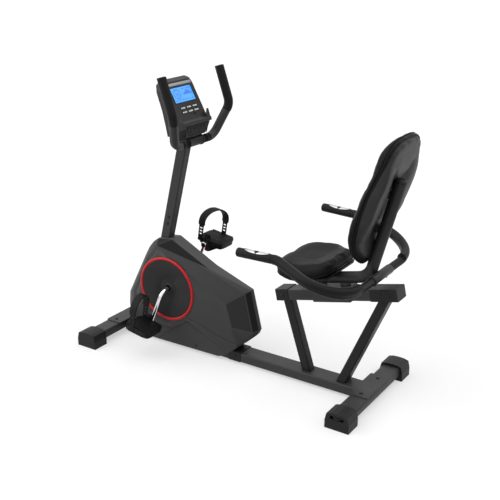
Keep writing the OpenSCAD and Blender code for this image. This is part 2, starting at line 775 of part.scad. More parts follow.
// Pedal frame: on the left pedal's axis, X along the foot, Z up from the sole's plate
module on_pedal() {
    at = pedal_axis(1);
    translate(at) rotate([0, pedal_tilt, 0]) children();
}

// Draws the left pedal's piece again at the right pedal
module at_right() {
    translate(pedal_axis(-1)) mirror([0, 1, 0]) translate(-pedal_axis(1)) children();
}

module pedal_spindle() {
    on_pedal() difference() {
        union() {
            rod_y(0, 0, spindle_thread_r, eye_y0 + 1, pedal_y0 - 4);
            rod_y(0, 0, spindle_r, pedal_y0 - 5, spindle_tip);
            translate([0, eye_y0 + eye_t, 0]) rotate([-90, 0, 0]) cylinder(h = 4, r = 10.5, $fn = 6);
        }
        rod_y(0, 0, 3, eye_y0, eye_y0 + 6);
    }
}

module pedal_spindles() color(steel_colour) {
    pedal_spindle();
    at_right() pedal_spindle();
}

module pedal() color(dark_colour) on_pedal() difference() {
    half = pedal_len / 2;
    union() {
        along_y(pedal_y0, pedal_y0 + pedal_w) polygon([[-half, -5], [4 - half, -pedal_t / 2],
            [half - 4, -pedal_t / 2], [half, -5], [half, 4], [half - 8, 8], [half / 3, pedal_t / 2],
            [-half / 3, pedal_t / 2], [8 - half, 8], [-half, 4]]);
        along_y(pedal_y0 + 3, pedal_y0 + 3 + weight_w)
            polygon([[-30, -9], [30, -9], [6, -weight_drop], [-6, -weight_drop]]);
        translate([-ear_half, pedal_y0, 0]) cube([2 * ear_half, ear_t, ear_top]);
    }
    rod_y(0, 0, spindle_r + gap_run, pedal_y0 - 1, spindle_tip + 1);
}

module pedal_left() pedal();
module pedal_right() at_right() pedal();

// The arch outline of a strap, in Y and Z; grow widens it on every side
module strap_arch(grow) {
    r = pedal_w / 2 + gap_soft + grow;
    translate([pedal_y0 + pedal_w / 2, strap_top - pedal_w / 2 - strap_t]) {
        circle(r);
        translate([-r, -200]) square([2 * r, 200]);
    }
}

module strap() color(dark_colour) on_pedal() intersection() {
    along_x(-strap_w / 2, strap_w / 2) difference() {
        strap_arch(strap_t);
        strap_arch(0);
    }
    union() {
        translate([-50, pedal_y0 - 20, 12]) cube([100, pedal_w + 40, 200]);
        translate([-50, pedal_y0 + pedal_w, -8]) cube([100, 20, 40]);
    }
}

module strap_left() strap();
module strap_right() at_right() strap();

// ---------------------------------------------------------------- front handlebar

bar_r = bar_d / 2;
clamp_z = 932;
clamp_r = bar_r + 3.5;
clamp_half = 48;
collar_r = bar_r + 6;
front_bar_x = mast_x(clamp_z) - (mast_d / 2 + clamp_r + gap_soft) / cos(mast_lean);
front_bend_y = front_grip_span / 2 - 60;
front_knee = [front_bar_x - 43, 1062];
front_tip = [front_bar_x + 8, 1214];
plug_t = 4;

// A round bar bent along a path that is mirrored over the middle, with plugged ends
module mirrored_bar(half_path, bends) {
    last = len(half_path) - 1;
    path = concat([for (i = [last:-1:0]) half_path[i]],
        [for (p = half_path) [p[0], -p[1], p[2]]]);
    all_bends = concat([for (i = [last - 1:-1:0]) bends[i]], bends);
    difference() {
        bent_bar(path, all_bends, bar_r);
        bent_bar(path, all_bends, bar_r - tube_wall);
    }
    out = unit(half_path[last] - half_path[last - 1]);
    both_sides() bar_run(half_path[last] - (plug_t + 0.5) * out, half_path[last] - 0.5 * out,
        bar_r - tube_wall / 2);
}

module front_handlebar() color(frame_colour) mirrored_bar([
    [front_bar_x, front_bend_y, clamp_z],
    [front_knee[0], front_grip_span / 2, front_knee[1]],
    [front_tip[0], front_grip_span / 2, front_tip[1]],
], [55, 60]);

module handlebar_clamp() color(dark_colour) difference() {
    union() {
        rod_y(front_bar_x, clamp_z, clamp_r, -clamp_half, clamp_half);
        both_sides() rod_y(front_bar_x, clamp_z, collar_r, clamp_half - 6, clamp_half);
        both_sides() along_y(mast_w / 2 + gap_soft, mast_w / 2 + 4) translate([front_bar_x, clamp_z])
            rotate(-2) translate([0, -14]) square([bar_r + mast_d, 28]);
    }
    rod_y(front_bar_x, clamp_z, bar_r + gap_run, -clamp_half - 1, clamp_half + 1);
}

// ---------------------------------------------------------------- console

face_x = front_x - 416.4;
face_z = 1024.4;
face_lean = 29;
console_wall = 2.5;
split_w = 27;            // how far behind the face the two halves meet
console_half = console_w / 2;
screen_u = 109;
key_rows_u = [52.6, 34.8];
key_pitch = key_w + 6;
key_out = 1.8;
jack_u = 22;
lip_half = console_half + 3;

// Console frame: X into the console, Z up along its face, origin at the face's foot
module on_face() {
    translate([face_x, 0, face_z]) rotate([0, face_lean, 0]) children();
}

function console_side() = [
    [0, 0], [-8, -23], [5, -43], [26, -63], [97, -23], [80, 17], [64, 76], [52, 150], [45, 180],
    [30, 190], [9, 185], [0, 168], [0, 150],
];
function console_front_view() = let (h = console_half) [
    [34 - h, -70], [h - 34, -70], [h - 6, -30], [h, 20], [h, 150], [h - 8, 178], [h - 30, 192],
    [30 - h, 192], [8 - h, 178], [-h, 150], [-h, 20], [6 - h, -30],
];

module console_block(t) intersection() {
    along_y(-console_half - 10, console_half + 10) polygon(inset(console_side(), t));
    along_x(-50, 150) polygon(inset(console_front_view(), t));
}

module console_shell() difference() {
    console_block(0);
    console_block(console_wall);
}

module console_front() color(casing_colour) on_face() difference() {
    union() {
        intersection() {
            console_shell();
            translate([-50, -200, -100]) cube([50 + split_w, 400, 400]);
        }
        along_y(-lip_half, lip_half) polygon([[-14, -23], [-6, -23], [-4.5, -18], [-9.5, -18],
            [-17.5, 24], [-21, 24]]);
    }
    translate([-10, -screen_w / 2 - gap_soft, screen_u - screen_h / 2 - gap_soft])
        cube([30, screen_w + 2 * gap_soft, screen_h + 2 * gap_soft]);
    for (n = [1:6]) on_key(n) cube([30, key_w + 2 * gap_move, key_h + 2 * gap_move], center = true);
    translate([-5, -20, jack_u]) rotate([0, 90, 0]) cylinder(h = 20, r = 3.5);
}

module console_back() color(casing_colour) difference() {
    on_face() intersection() {
        console_shell();
        translate([split_w, -200, -100]) cube([200, 400, 400]);
    }
    on_mast(mast_foot_z) linear_extrude(700)
        square([mast_d + 2 * gap_soft, mast_w + 2 * gap_soft], center = true);
}

module screen_lens() color(screen_colour) on_face()
    translate([0.4, -screen_w / 2, screen_u - screen_h / 2]) cube([2.4, screen_w, screen_h]);

// Keys 1 to 3 are the upper row and 4 to 6 the lower, from the rider's left
module on_key(n) {
    row = n > 3 ? 1 : 0;
    translate([0, (2 - n + 3 * row) * key_pitch, key_rows_u[row]]) children();
}

module key(n) color(dark_colour) on_face() on_key(n) {
    depth = key_out + console_wall + 1.5;
    translate([depth / 2 - key_out, 0, 0]) cube([depth, key_w, key_h], center = true);
    translate([console_wall + 1.5, 0, 0]) cube([1.5, key_w + 4, key_h + 3], center = true);
}

// ---------------------------------------------------------------- seat carriage

liner_t = 2.5;
carriage_wall = 2.5;
inner_grow = 2 * (gap_slide + liner_t);
liner_len = 40;
riser_n = rail_h + gap_slide + liner_t + carriage_wall;
riser_h = 12.6;
post_r = post_d / 2;
post_n = riser_n + riser_h + post_r;
lever_s = -seat_offset - carriage_len / 2;
lever_pin_r = 5;
lever_t = 6;
carriage_half = rail_w / 2 + gap_slide + liner_t + carriage_wall;

module seat_carriage() color(frame_colour) on_rail() difference() {
    s0 = -seat_offset - carriage_len;
    union() {
        translate([0, 0, rail_h / 2]) along_x(s0, -seat_offset)
            tube_section(rail_w + inner_grow + 2 * carriage_wall,
                rail_h + inner_grow + 2 * carriage_wall, 5, carriage_wall);
        for (s = [s0 + 14, -seat_offset - 44]) translate([s, -15, riser_n - 1])
            cube([30, 30, riser_h + 7]);
    }
    translate([0, 0, post_n]) rotate([0, 90, 0]) translate([0, 0, s0 - 50])
        cylinder(h = carriage_len + 100, r = post_r + gap_run);
    rod_y(lever_s, rail_h / 2, lever_pin_r + gap_run, -rail_w, 0);
}

module carriage_liners() color("#50504f") on_rail()
    for (s = [-seat_offset - liner_len - 2, -seat_offset - carriage_len + 2])
        translate([0, 0, rail_h / 2]) along_x(s, s + liner_len)
            tube_section(rail_w + inner_grow, rail_h + inner_grow, 2.5, liner_t);

// The lever that locks the carriage: its pin ends in a pad beside the rail
module lock_lever() color(dark_colour) on_rail() translate([lever_s, 0, rail_h / 2]) {
    rod_y(0, 0, lever_pin_r, -carriage_half - lever_t - 1, -rail_w / 2 - 0.7);
    rod_y(0, 0, 9, -rail_w / 2 - gap_slide - liner_t + 0.3, -rail_w / 2 - 0.7);
    along_y(-carriage_half - lever_t - 1, -carriage_half - 1) {
        circle(12);
        rotate(12) translate([0, -6]) square([118, 12]);
    }
    rotate([0, -12, 0]) translate([118, 0, 0]) rod_y(0, 0, 11, -carriage_half - 36, -carriage_half - 1);
}

// ---------------------------------------------------------------- seat post

post_corner = rail_point(-seat_offset - 240, post_n);
post_front = rail_point(-seat_offset + 72, post_n);
post_recline = 15.05;
post_len = 400;
post_dir = [-sin(post_recline), 0, cos(post_recline)];
post_top = post_corner + post_len * post_dir;
side_bar_at = 28.5;      // up the post from its corner to the side handlebar
side_bar = post_corner + side_bar_at * post_dir
    - (post_r + bar_r + gap_soft) * [cos(post_recline), 0, sin(post_recline)];
sleeve_half = 77;
sleeve_bolt_y = 50;

seat_mid = [rear_x + 254, 515];
seat_tilt = 3.3;
pan_t = 8;
pan_brackets = [-64, 46];
pan_bolt_y = 42;
seat_bolt_r = 3;         // every bolt of the seat group

// Seat frame: on the cushion's underside, X forward along it
module on_seat() {
    translate([seat_mid[0], 0, seat_mid[1]]) rotate([0, seat_tilt, 0]) children();
}

// The space inside the post
module post_core() {
    bent_bar([post_top + 20 * post_dir, post_corner, rail_point(0, post_n)], [75],
        post_r - tube_wall);
}

module seat_post() color(frame_colour) difference() {
    union() {
        bent_bar([post_top, post_corner, post_front], [75], post_r);
        on_seat() for (x = pan_brackets) {
            translate([x - 10, -20, -pan_t - 45]) cube([20, 40, 45]);
            translate([x - 15, -55, -pan_t - 3]) cube([30, 110, 3]);
        }
        for (i = back_bracket_at) on_back(i) {
            translate([-shell_t - gap_soft - 4, -45, -15]) cube([4, 90, 30]);
            translate([-44, -12, -12]) cube([44 - shell_t - gap_soft - 1, 24, 24]);
        }
        rod_y(side_bar[0], side_bar[2], bar_r + 2.5, -sleeve_half, sleeve_half);
    }
    post_core();
    rod_y(side_bar[0], side_bar[2], bar_r + gap_run, -sleeve_half - 1, sleeve_half + 1);
    both_sides() back_bolts(seat_bolt_r + gap_move);
    both_sides() sleeve_bolt_hole();
    both_sides() pan_bolt_holes();
}

module sleeve_bolt_hole() {
    translate([side_bar[0], sleeve_bolt_y, side_bar[2] - bar_r - 20])
        cylinder(h = 26, r = seat_bolt_r + gap_move);
}

module pan_bolt_holes() {
    on_seat() for (x = pan_brackets) translate([x, pan_bolt_y, -pan_t - 5])
        cylinder(h = pan_t + 4, r = seat_bolt_r + gap_move);
}

module post_cap() color(dark_colour) translate(post_top) rotate([0, -post_recline, 0])
    rotate_extrude() polygon([[0, -8], [post_r - tube_wall - 0.1, -8], [post_r - tube_wall - 0.1, 0],
        [post_r + 0.5, 0], [post_r + 0.5, 2], [post_r - 2, 7], [post_r * 0.6, 11], [0, 12.5]]);

// The cushion's plan outline, moved inward by t
module seat_plan(t) {
    half = seat_w / 2;
    deep = seat_depth / 2;
    edge = [[deep, half * 0.5], [deep * 0.72, half * 0.75], [deep * 0.6, half * 0.81],
        [deep * 0.21, half], [-deep * 0.26, half], [-deep * 0.93, half * 0.73],
        [-deep, half * 0.58]];
    last = len(edge) - 1;
    polygon(inset(concat(edge, [for (i = [last:-1:0]) [edge[i][0], -edge[i][1]]]), t));
}

module seat_pan() color(dark_colour) difference() {
    on_seat() translate([0, 0, -pan_t]) linear_extrude(pan_t - gap_soft) seat_plan(12);
    both_sides() pan_bolt_holes();
}

module seat_pad() color(dark_colour) on_seat() linear_extrude(seat_thick) seat_plan(0);

// ---------------------------------------------------------------- backrest

shell_t = 4;
back_top = 1104;
back_foot = 622;
back_round = 110;
back_foot_half = back_w / 2 - 65;

// Side outlines of the back cushion, from the foot up, as [x behind or ahead of the rear foot, z]
back_face = [[28, 622], [46, 650], [48, 700], [42, 755], [18, 830], [-20, 930], [-62, 1045],
    [-88, 1085], [-112, 1104]];
back_rear = [[25, 628], [14, 690], [4, 740], [-10, 800], [-47, 905], [-82, 990], [-122, 1092]];
back_bracket_at = [1, 3];
back_bolt_y = 33;

function shifted(path, dx) = [for (p = path) [rear_x + p[0] + dx, p[1]]];
function reversed(path) = [for (i = [len(path) - 1:-1:0]) path[i]];

// Frame on the cushion's rear, midway along one stretch of its outline, Z up along it
module on_back(i) {
    a = back_rear[i];
    b = back_rear[i + 1];
    translate([rear_x + (a[0] + b[0]) / 2, 0, (a[1] + b[1]) / 2])
        rotate([0, atan2(b[0] - a[0], b[1] - a[1]), 0]) children();
}

// The backrest's outline seen from the front, moved inward by t
module back_view(t) {
    half = back_w / 2 - t;
    r = back_round - t;
    top = back_top - t;
    along_x(-1000, 1000) {
        for (s = [-1, 1]) translate([s * (half - r), top - r]) circle(r);
        translate([r - half, top - r]) square([2 * (half - r), r]);
        translate([-half, 760]) square([2 * half, top - r - 760]);
        polygon([[-half, 760], [12 - half, 680], [t - back_foot_half, back_foot + t],
            [back_foot_half - t, back_foot + t], [half - 12, 680], [half, 760]]);
    }
}

module back_pad() color(dark_colour) intersection() {
    along_y(-back_w, back_w) polygon(concat(shifted(back_face, 0), reversed(shifted(back_rear, 0))));
    back_view(0);
}

module back_shell() color("#4b4b4b") difference() {
    intersection() {
        along_y(-back_w, back_w) polygon(concat(shifted(back_rear, -gap_soft),
            reversed(shifted(back_rear, -gap_soft - shell_t))));
        back_view(3);
    }
    both_sides() back_bolts(seat_bolt_r + gap_move);
}

// Shanks of the two upper and two lower bolts of the left half
module back_bolts(r) {
    for (i = back_bracket_at) on_back(i) translate([-20, back_bolt_y, 0]) rotate([0, 90, 0])
        cylinder(h = 20 - gap_soft, r = r);
}

// ---------------------------------------------------------------- side handlebar

side_grip_y = side_grip_span / 2;
side_end = [rear_x + 401, side_grip_y, 640];
side_knee = [rear_x + 241, side_grip_y - 10.5, 637.5];
side_corner = [side_bar[0], side_grip_y + 42, side_bar[2]];
grip_len = 144;
grip_t = 1.5;

module side_handlebar() color(frame_colour) difference() {
    mirrored_bar([side_corner, side_knee, side_end], [150, 70]);
    both_sides() sleeve_bolt_hole();
}

// Grip frame: origin at the left bar's end, X up, Z back along the bar
module on_grip() {
    back = unit(side_knee - side_end);
    up = unit([0, 0, 1] - back * back[2]);
    multmatrix(turn_frame(up, cross(back, up), back, side_end)) children();
}

module side_grips() color(dark_colour) both_sides() on_grip() difference() {
    translate([0, 0, -4]) cylinder(h = grip_len, r = bar_r + grip_t);
    translate([0, 0, -gap_run]) cylinder(h = grip_len + 10, r = bar_r + gap_run);
}

module pulse_plates() color(steel_colour) both_sides() on_grip()
    for (z = [30, 72]) translate([0, 0, z]) rotate([0, 0, -42]) rotate_extrude(angle = 84)
        translate([bar_r + grip_t + gap_run, 0]) square([0.8, 36]);

module seat_bolts() color(dark_colour) both_sides() {
    difference() {
        back_bolts(seat_bolt_r);
        for (i = back_bracket_at) on_back(i) translate([-40, 0, -20]) cube([28, 60, 40]);
    }
    for (i = back_bracket_at) on_back(i) translate([-shell_t - gap_soft - 8, back_bolt_y, 0])
        rotate([0, 90, 0]) cylinder(h = 4, r = 6);
    translate([side_bar[0], sleeve_bolt_y, side_bar[2] - bar_r - 9]) cylinder(h = 14, r = seat_bolt_r);
    translate([side_bar[0], sleeve_bolt_y, side_bar[2] - bar_r - 9]) cylinder(h = 5.5, r = 6, $fn = 6);
    on_seat() for (x = pan_brackets) translate([x, pan_bolt_y, -pan_t - 6]) {
        cylinder(h = 12, r = seat_bolt_r);
        cylinder(h = 3, r = 6);
    }
}

main_beam();
foot_tubes();
rear_foot_caps();
front_foot_caps();
leveller_left();
leveller_right();
transport_wheel_left();
transport_wheel_right();
frame_bolts();
front_strut();
rear_strut();
seat_rail();
lower_post();
mast();
drive_brackets();
crank_bearings();
crank();
drive_pulley();
drive_belt();
flywheel_axle();
flywheel();
magnet_arm();
brake_magnets();
resistance_motor();
casing_left();
casing_right();
disc_covers();
ring_trims();
cover_screws();
beam_collar();
power_socket();
pedal_spindles();
pedal_left();
pedal_right();
strap_left();
strap_right();
front_handlebar();
handlebar_clamp();
console_front();
console_back();
screen_lens();
key(1);  // key_1
key(2);  // key_2
key(3);  // key_3
key(4);  // key_4
key(5);  // key_5
key(6);  // key_6
seat_carriage();
carriage_liners();
lock_lever();
seat_post();
post_cap();
seat_pan();
seat_pad();
back_shell();
back_pad();
side_handlebar();
side_grips();
pulse_plates();
seat_bolts();
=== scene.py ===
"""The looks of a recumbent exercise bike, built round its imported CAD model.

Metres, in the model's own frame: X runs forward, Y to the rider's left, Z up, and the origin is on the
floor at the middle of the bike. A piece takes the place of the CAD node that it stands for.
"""

import json
import math

import bmesh
import bpy
from mathutils import Matrix, Vector
from mathutils.bvhtree import BVHTree
from mathutils.kdtree import KDTree


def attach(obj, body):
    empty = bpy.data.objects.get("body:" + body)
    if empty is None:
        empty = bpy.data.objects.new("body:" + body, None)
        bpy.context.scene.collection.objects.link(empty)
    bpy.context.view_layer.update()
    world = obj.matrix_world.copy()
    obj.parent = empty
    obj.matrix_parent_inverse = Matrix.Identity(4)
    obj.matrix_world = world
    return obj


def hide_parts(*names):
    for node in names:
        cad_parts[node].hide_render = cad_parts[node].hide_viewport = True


MM = 0.001

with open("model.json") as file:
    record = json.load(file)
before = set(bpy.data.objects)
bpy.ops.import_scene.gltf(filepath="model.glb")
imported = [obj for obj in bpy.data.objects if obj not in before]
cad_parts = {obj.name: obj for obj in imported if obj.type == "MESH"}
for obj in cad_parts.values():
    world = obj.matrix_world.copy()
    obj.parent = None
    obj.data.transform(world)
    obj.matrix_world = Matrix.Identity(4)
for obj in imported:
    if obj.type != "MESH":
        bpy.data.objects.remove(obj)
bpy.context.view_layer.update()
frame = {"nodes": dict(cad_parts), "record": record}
nodes = frame["nodes"]
slot_of = {part["node"]: part["material_slot"] for part in frame["record"]["subparts"]}


# ---------------------------------------------------------------- camera, light and floor

CAMERA_AT = Vector((-1.84509, 2.77101, 1.74305))
CAMERA_TURN = (69.6576, 0.0, -146.7575)
CAMERA_LENS = 62.38

WORLD_LEVEL = 0.34        # what the surroundings add to the light on the bike
FLOOR_SIZE = 60.0
FLOOR_COLOUR = (0.5, 0.5, 0.5)
FLOOR_GLOW = 0.5          # added where the camera or a reflection sees it, so that its shadow is light
FLOOR_BOUNCE = (0.3, 0.3, 0.3)      # its colour in the light that it throws up at the bike

# Lamps: name, strength, apparent size in degrees, and the direction that the light comes from
LAMPS = [
    ("key", 1.85, 70, (0.8, 0.78, 0.75)),
    ("top", 1.6, 90, (-0.3, -0.1, 1.0)),
]


def add_node(tree, kind, operation=None, **inputs):
    """A node with its inputs set or linked. Inputs go by name, or as i0, i1 and so on by number."""
    node = tree.nodes.new(kind)
    if operation:
        node.operation = operation
    for name, value in inputs.items():
        socket = node.inputs[int(name[1:]) if name[1:].isdigit() else name]
        if isinstance(value, bpy.types.NodeSocket):
            tree.links.new(value, socket)
        else:
            socket.default_value = value
    return node


def mix_colours(tree, share, a, b):
    """The colour a where share is 0 and b where it is 1."""
    mix = tree.nodes.new("ShaderNodeMix")
    mix.data_type = "RGBA"
    tree.links.new(share, mix.inputs[0])
    for value, socket in ((a, mix.inputs[6]), (b, mix.inputs[7])):
        if isinstance(value, bpy.types.NodeSocket):
            tree.links.new(value, socket)
        else:
            socket.default_value = (*value, 1)
    return mix.outputs[2]


def make_camera():
    data = bpy.data.cameras.new("camera")
    data.lens = CAMERA_LENS
    data.sensor_width = 36.0
    camera = link("camera", data)
    camera.location = CAMERA_AT
    camera.rotation_euler = [math.radians(a) for a in CAMERA_TURN]
    bpy.context.scene.camera = camera


def make_lamps():
    for name, strength, size, source in LAMPS:
        data = bpy.data.lights.new(name, "SUN")
        data.energy = strength
        data.angle = math.radians(size)
        link(name, data).rotation_euler = Vector(source).to_track_quat("Z", "Y").to_euler()


def make_world():
    """White to the eye and in reflections, and dimmer as a lamp, so that dark paint keeps its depth."""
    world = bpy.data.worlds.new("studio")
    world.use_nodes = True
    bpy.context.scene.world = world
    tree = world.node_tree
    ground = tree.nodes["Background"].inputs
    ground["Color"].default_value = (1, 1, 1, 1)
    path = add_node(tree, "ShaderNodeLightPath").outputs
    reflected = add_node(tree, "ShaderNodeMath", "MAXIMUM",
                         i0=path["Is Glossy Ray"], i1=path["Is Transmission Ray"]).outputs[0]
    seen = add_node(tree, "ShaderNodeMath", "MAXIMUM", i0=path["Is Camera Ray"], i1=reflected).outputs[0]
    level = add_node(tree, "ShaderNodeMapRange", Value=seen, **{"To Min": WORLD_LEVEL, "To Max": 1.0})
    tree.links.new(level.outputs[0], ground["Strength"])


def make_floor():
    mesh = bpy.data.meshes.new("floor")
    h = FLOOR_SIZE / 2
    mesh.from_pydata([(-h, -h, 0), (h, -h, 0), (h, h, 0), (-h, h, 0)], [], [(0, 1, 2, 3)])
    material = bpy.data.materials.new("floor")
    material.use_nodes = True
    tree = material.node_tree
    shader = tree.nodes["Principled BSDF"].inputs
    path = add_node(tree, "ShaderNodeLightPath").outputs
    colour = mix_colours(tree, path["Is Diffuse Ray"], FLOOR_COLOUR, FLOOR_BOUNCE)
    tree.links.new(colour, shader["Base Color"])
    seen = add_node(tree, "ShaderNodeMath", "MAXIMUM", i0=path["Is Camera Ray"], i1=path["Is Glossy Ray"])
    glow = add_node(tree, "ShaderNodeMath", "MULTIPLY", i0=seen.outputs[0], i1=FLOOR_GLOW)
    tree.links.new(glow.outputs[0], shader["Emission Strength"])
    shader["Emission Color"].default_value = (1, 1, 1, 1)
    shader["Roughness"].default_value = 0.9
    shader["Specular IOR Level"].default_value = 0.0
    mesh.materials.append(material)
    link("floor", mesh)


# ---------------------------------------------------------------- materials


class Finish:
    """A procedural material. Each method adds nodes to the tree that feeds one Principled shader."""

    def __init__(self, name, roughness, specular=0.5, metallic=0.0, coat=0.0, sheen=0.0):
        self.material = bpy.data.materials.new(name)
        self.material.use_nodes = True
        self.tree = self.material.node_tree
        self.shader = self.tree.nodes["Principled BSDF"]
        self.place = self.add("ShaderNodeTexCoord").outputs["Object"]
        self.height = None
        for socket, value in (
            ("Roughness", roughness), ("Specular IOR Level", specular), ("Metallic", metallic),
            ("Coat Weight", coat), ("Coat Roughness", 0.15), ("Sheen Weight", sheen),
        ):
            self.shader.inputs[socket].default_value = value

    def add(self, kind, operation=None, **inputs):
        return add_node(self.tree, kind, operation, **inputs)

    def noise(self, scale, detail=2.0, stretch=(1, 1, 1)):
        """Noise with the given number of grains to the metre."""
        place = self.add("ShaderNodeMapping", Vector=self.place, Scale=stretch).outputs[0]
        return self.add("ShaderNodeTexNoise", Vector=place, Scale=scale, Detail=detail).outputs["Fac"]

    def cells(self, scale):
        """Distance to the nearest cell's middle, for leather and pebbled plastic."""
        node = self.add("ShaderNodeTexVoronoi", Vector=self.place, Scale=scale)
        node.feature = "SMOOTH_F1"
        return node.outputs["Distance"]

    def span(self, value, low, high, start=0.0, end=1.0):
        """Maps a value that runs from start to end onto low to high."""
        ends = {"From Min": start, "From Max": end, "To Min": low, "To Max": high}
        return self.add("ShaderNodeMapRange", Value=value, **ends).outputs[0]

    def blend(self, share, a, b):
        return mix_colours(self.tree, share, a, b)

    def colour(self, value):
        self.tree.links.new(value, self.shader.inputs["Base Color"])

    def roughness(self, value):
        self.tree.links.new(value, self.shader.inputs["Roughness"])

    def bump(self, height, depth):
        """Raises the surface by height times depth metres, over whatever bump it has."""
        node = self.add("ShaderNodeBump", Height=height, Distance=depth)
        if self.height:
            self.tree.links.new(self.height, node.inputs["Normal"])
        self.height = node.outputs[0]
        self.tree.links.new(self.height, self.shader.inputs["Normal"])
        return self

    def grained(self, rough, grain, depth):
        """A spark-eroded grain, fine and coarse, and a gloss that varies a little."""
        self.roughness(self.span(self.noise(50, 3), rough - 0.05, rough + 0.07))
        return self.bump(self.noise(grain, 3), depth).bump(self.noise(grain * 0.3, 1), depth * 0.5)

    def lit(self, glow, strength):
        self.tree.links.new(glow, self.shader.inputs["Emission Color"])
        self.shader.inputs["Emission Strength"].default_value = strength
        return self

    def edge(self, width):
        """1 on sharp edges and 0 on open faces, for edges that are partly wear and partly a painted
        highlight: how far a rounded normal leaves the real one.
        """
        bevel = self.add("ShaderNodeBevel", Radius=width)
        true = self.add("ShaderNodeNewGeometry").outputs["Normal"]
        dot = self.add("ShaderNodeVectorMath", "DOT_PRODUCT", i0=bevel.outputs[0], i1=true)
        return self.span(dot.outputs["Value"], 1.0, 0.0, 0.86, 0.995)


def mottled(finish, colour, spread, scale, detail=3.0):
    """A colour that drifts lighter and darker over the surface by a share, as real dye and paint do."""
    light = [min(1, c * (1 + spread)) for c in colour]
    dark = [c * (1 - spread) for c in colour]
    return finish.blend(finish.noise(scale, detail), dark, light)


def paint(name, colour, worn_and_highlit, specular=0.22):
    """Powder coat: fine orange peel, with lighter edges that are partly wear and partly a painted highlight.
    """
    f = Finish(name, 0.4, specular=specular)
    # Lighter edges: edge wear and a painted highlight.
    rubbed_and_highlit = f.add("ShaderNodeMath", "MULTIPLY", i0=f.edge(0.0012), i1=f.noise(90, 4)).outputs[0]
    f.colour(f.blend(f.span(rubbed_and_highlit, 0, 0.5, 0.35, 0.7), mottled(f, colour, 0.1, 14), worn_and_highlit))
    f.roughness(f.span(f.noise(36, 3), 0.36, 0.5))
    return f.bump(f.noise(1100, 2), 0.00005).material


def moulded(name, colour, rough, grain, depth, specular=0.36, coat=0.0):
    """Moulded plastic with a fine spark-eroded grain."""
    f = Finish(name, rough, specular=specular, coat=coat)
    f.colour(mottled(f, colour, 0.09, 18))
    return f.grained(rough, grain, depth).material


def pebbled(name, colour, rough, cells, depth, specular=0.22, sheen=0.0):
    """Rubber or foam with a pebbled skin."""
    f = Finish(name, rough, specular=specular, sheen=sheen)
    f.colour(mottled(f, colour, 0.12, 40))
    f.roughness(f.span(f.noise(120, 2), rough - 0.06, rough + 0.06))
    return f.bump(f.cells(cells), depth).material


def metal(name, colour, rough, brush, depth, stretch):
    """Bare metal with fine drawn or turned scratches."""
    f = Finish(name, rough, metallic=1.0)
    scratches = f.noise(brush, 2, stretch)
    f.colour(f.blend(scratches, [c * 0.92 for c in colour], colour))
    f.roughness(f.span(scratches, rough * 0.7, rough * 1.4))
    return f.bump(scratches, depth).material


def polished(name, colour, rough):
    """Plated metal: a mirror with faint wide waves in it."""
    f = Finish(name, rough, metallic=1.0)
    f.colour(f.blend(f.noise(8, 2), [c * 0.95 for c in colour], colour))
    f.roughness(f.span(f.noise(12, 2), rough * 0.8, rough * 1.3))
    return f.bump(f.noise(26, 1), 0.00003).material


def slope_shaded_plastic(name, colour, rough, grain, depth, slope_shade_share, level):
    """Moulded plastic with painted light: its colour times slope_shade_share on sloping faces, a painted
    shade, and times level on level tops, a painted highlight.
    """
    f = Finish(name, rough, specular=0.2)
    # Painted light by the face's slope: darker on sloping faces and lighter on level tops.
    up = f.add("ShaderNodeSeparateXYZ", Vector=f.add("ShaderNodeNewGeometry").outputs["Normal"]).outputs[2]
    sloping = f.blend(f.span(up, 0, 1, 0.08, 0.3), mottled(f, colour, 0.09, 18), [c * slope_shade_share for c in colour])
    f.colour(f.blend(f.span(up, 0, 1, 0.6, 0.88), sloping, [c * level for c in colour]))
    return f.grained(rough, grain, depth).material


def vinyl(name, colour):
    """Synthetic leather: creased cells, wider soft folds and a low sheen."""
    f = Finish(name, 0.42, specular=0.1)
    grain = f.cells(520)
    # The cells' middles are lighter and their creases darker: painted shade in the creases of the grain.
    f.colour(f.blend(f.span(grain, 0, 1, 0.1, 0.6), [c * 1.25 for c in colour], mottled(f, colour, 0.1, 9)))
    f.roughness(f.span(f.noise(30, 3), 0.42, 0.54))
    return f.bump(grain, -0.00016).bump(f.noise(210, 3), 0.0001).bump(f.noise(24, 2), 0.0007).material


def lit_screen(name):
    """A backlit display: blue light with a faint dot grid and a soft fall-off."""
    f = Finish(name, 0.12, specular=0.5, coat=0.6)
    glow = f.blend(f.noise(14, 1), (0.025, 0.27, 0.9), (0.05, 0.36, 1.0))
    f.colour(glow)
    return f.lit(glow, 0.7).bump(f.noise(900, 1), 0.00001).material


def lit_marks(name):
    """The display's segments, in a violet blue."""
    f = Finish(name, 0.3, specular=0.2)
    glow = f.blend(f.noise(40, 1), (0.07, 0.12, 0.9), (0.1, 0.17, 1.0))
    f.colour(f.blend(f.noise(40, 1), (0.02, 0.03, 0.2), (0.03, 0.04, 0.25)))
    return f.lit(glow, 0.8).material


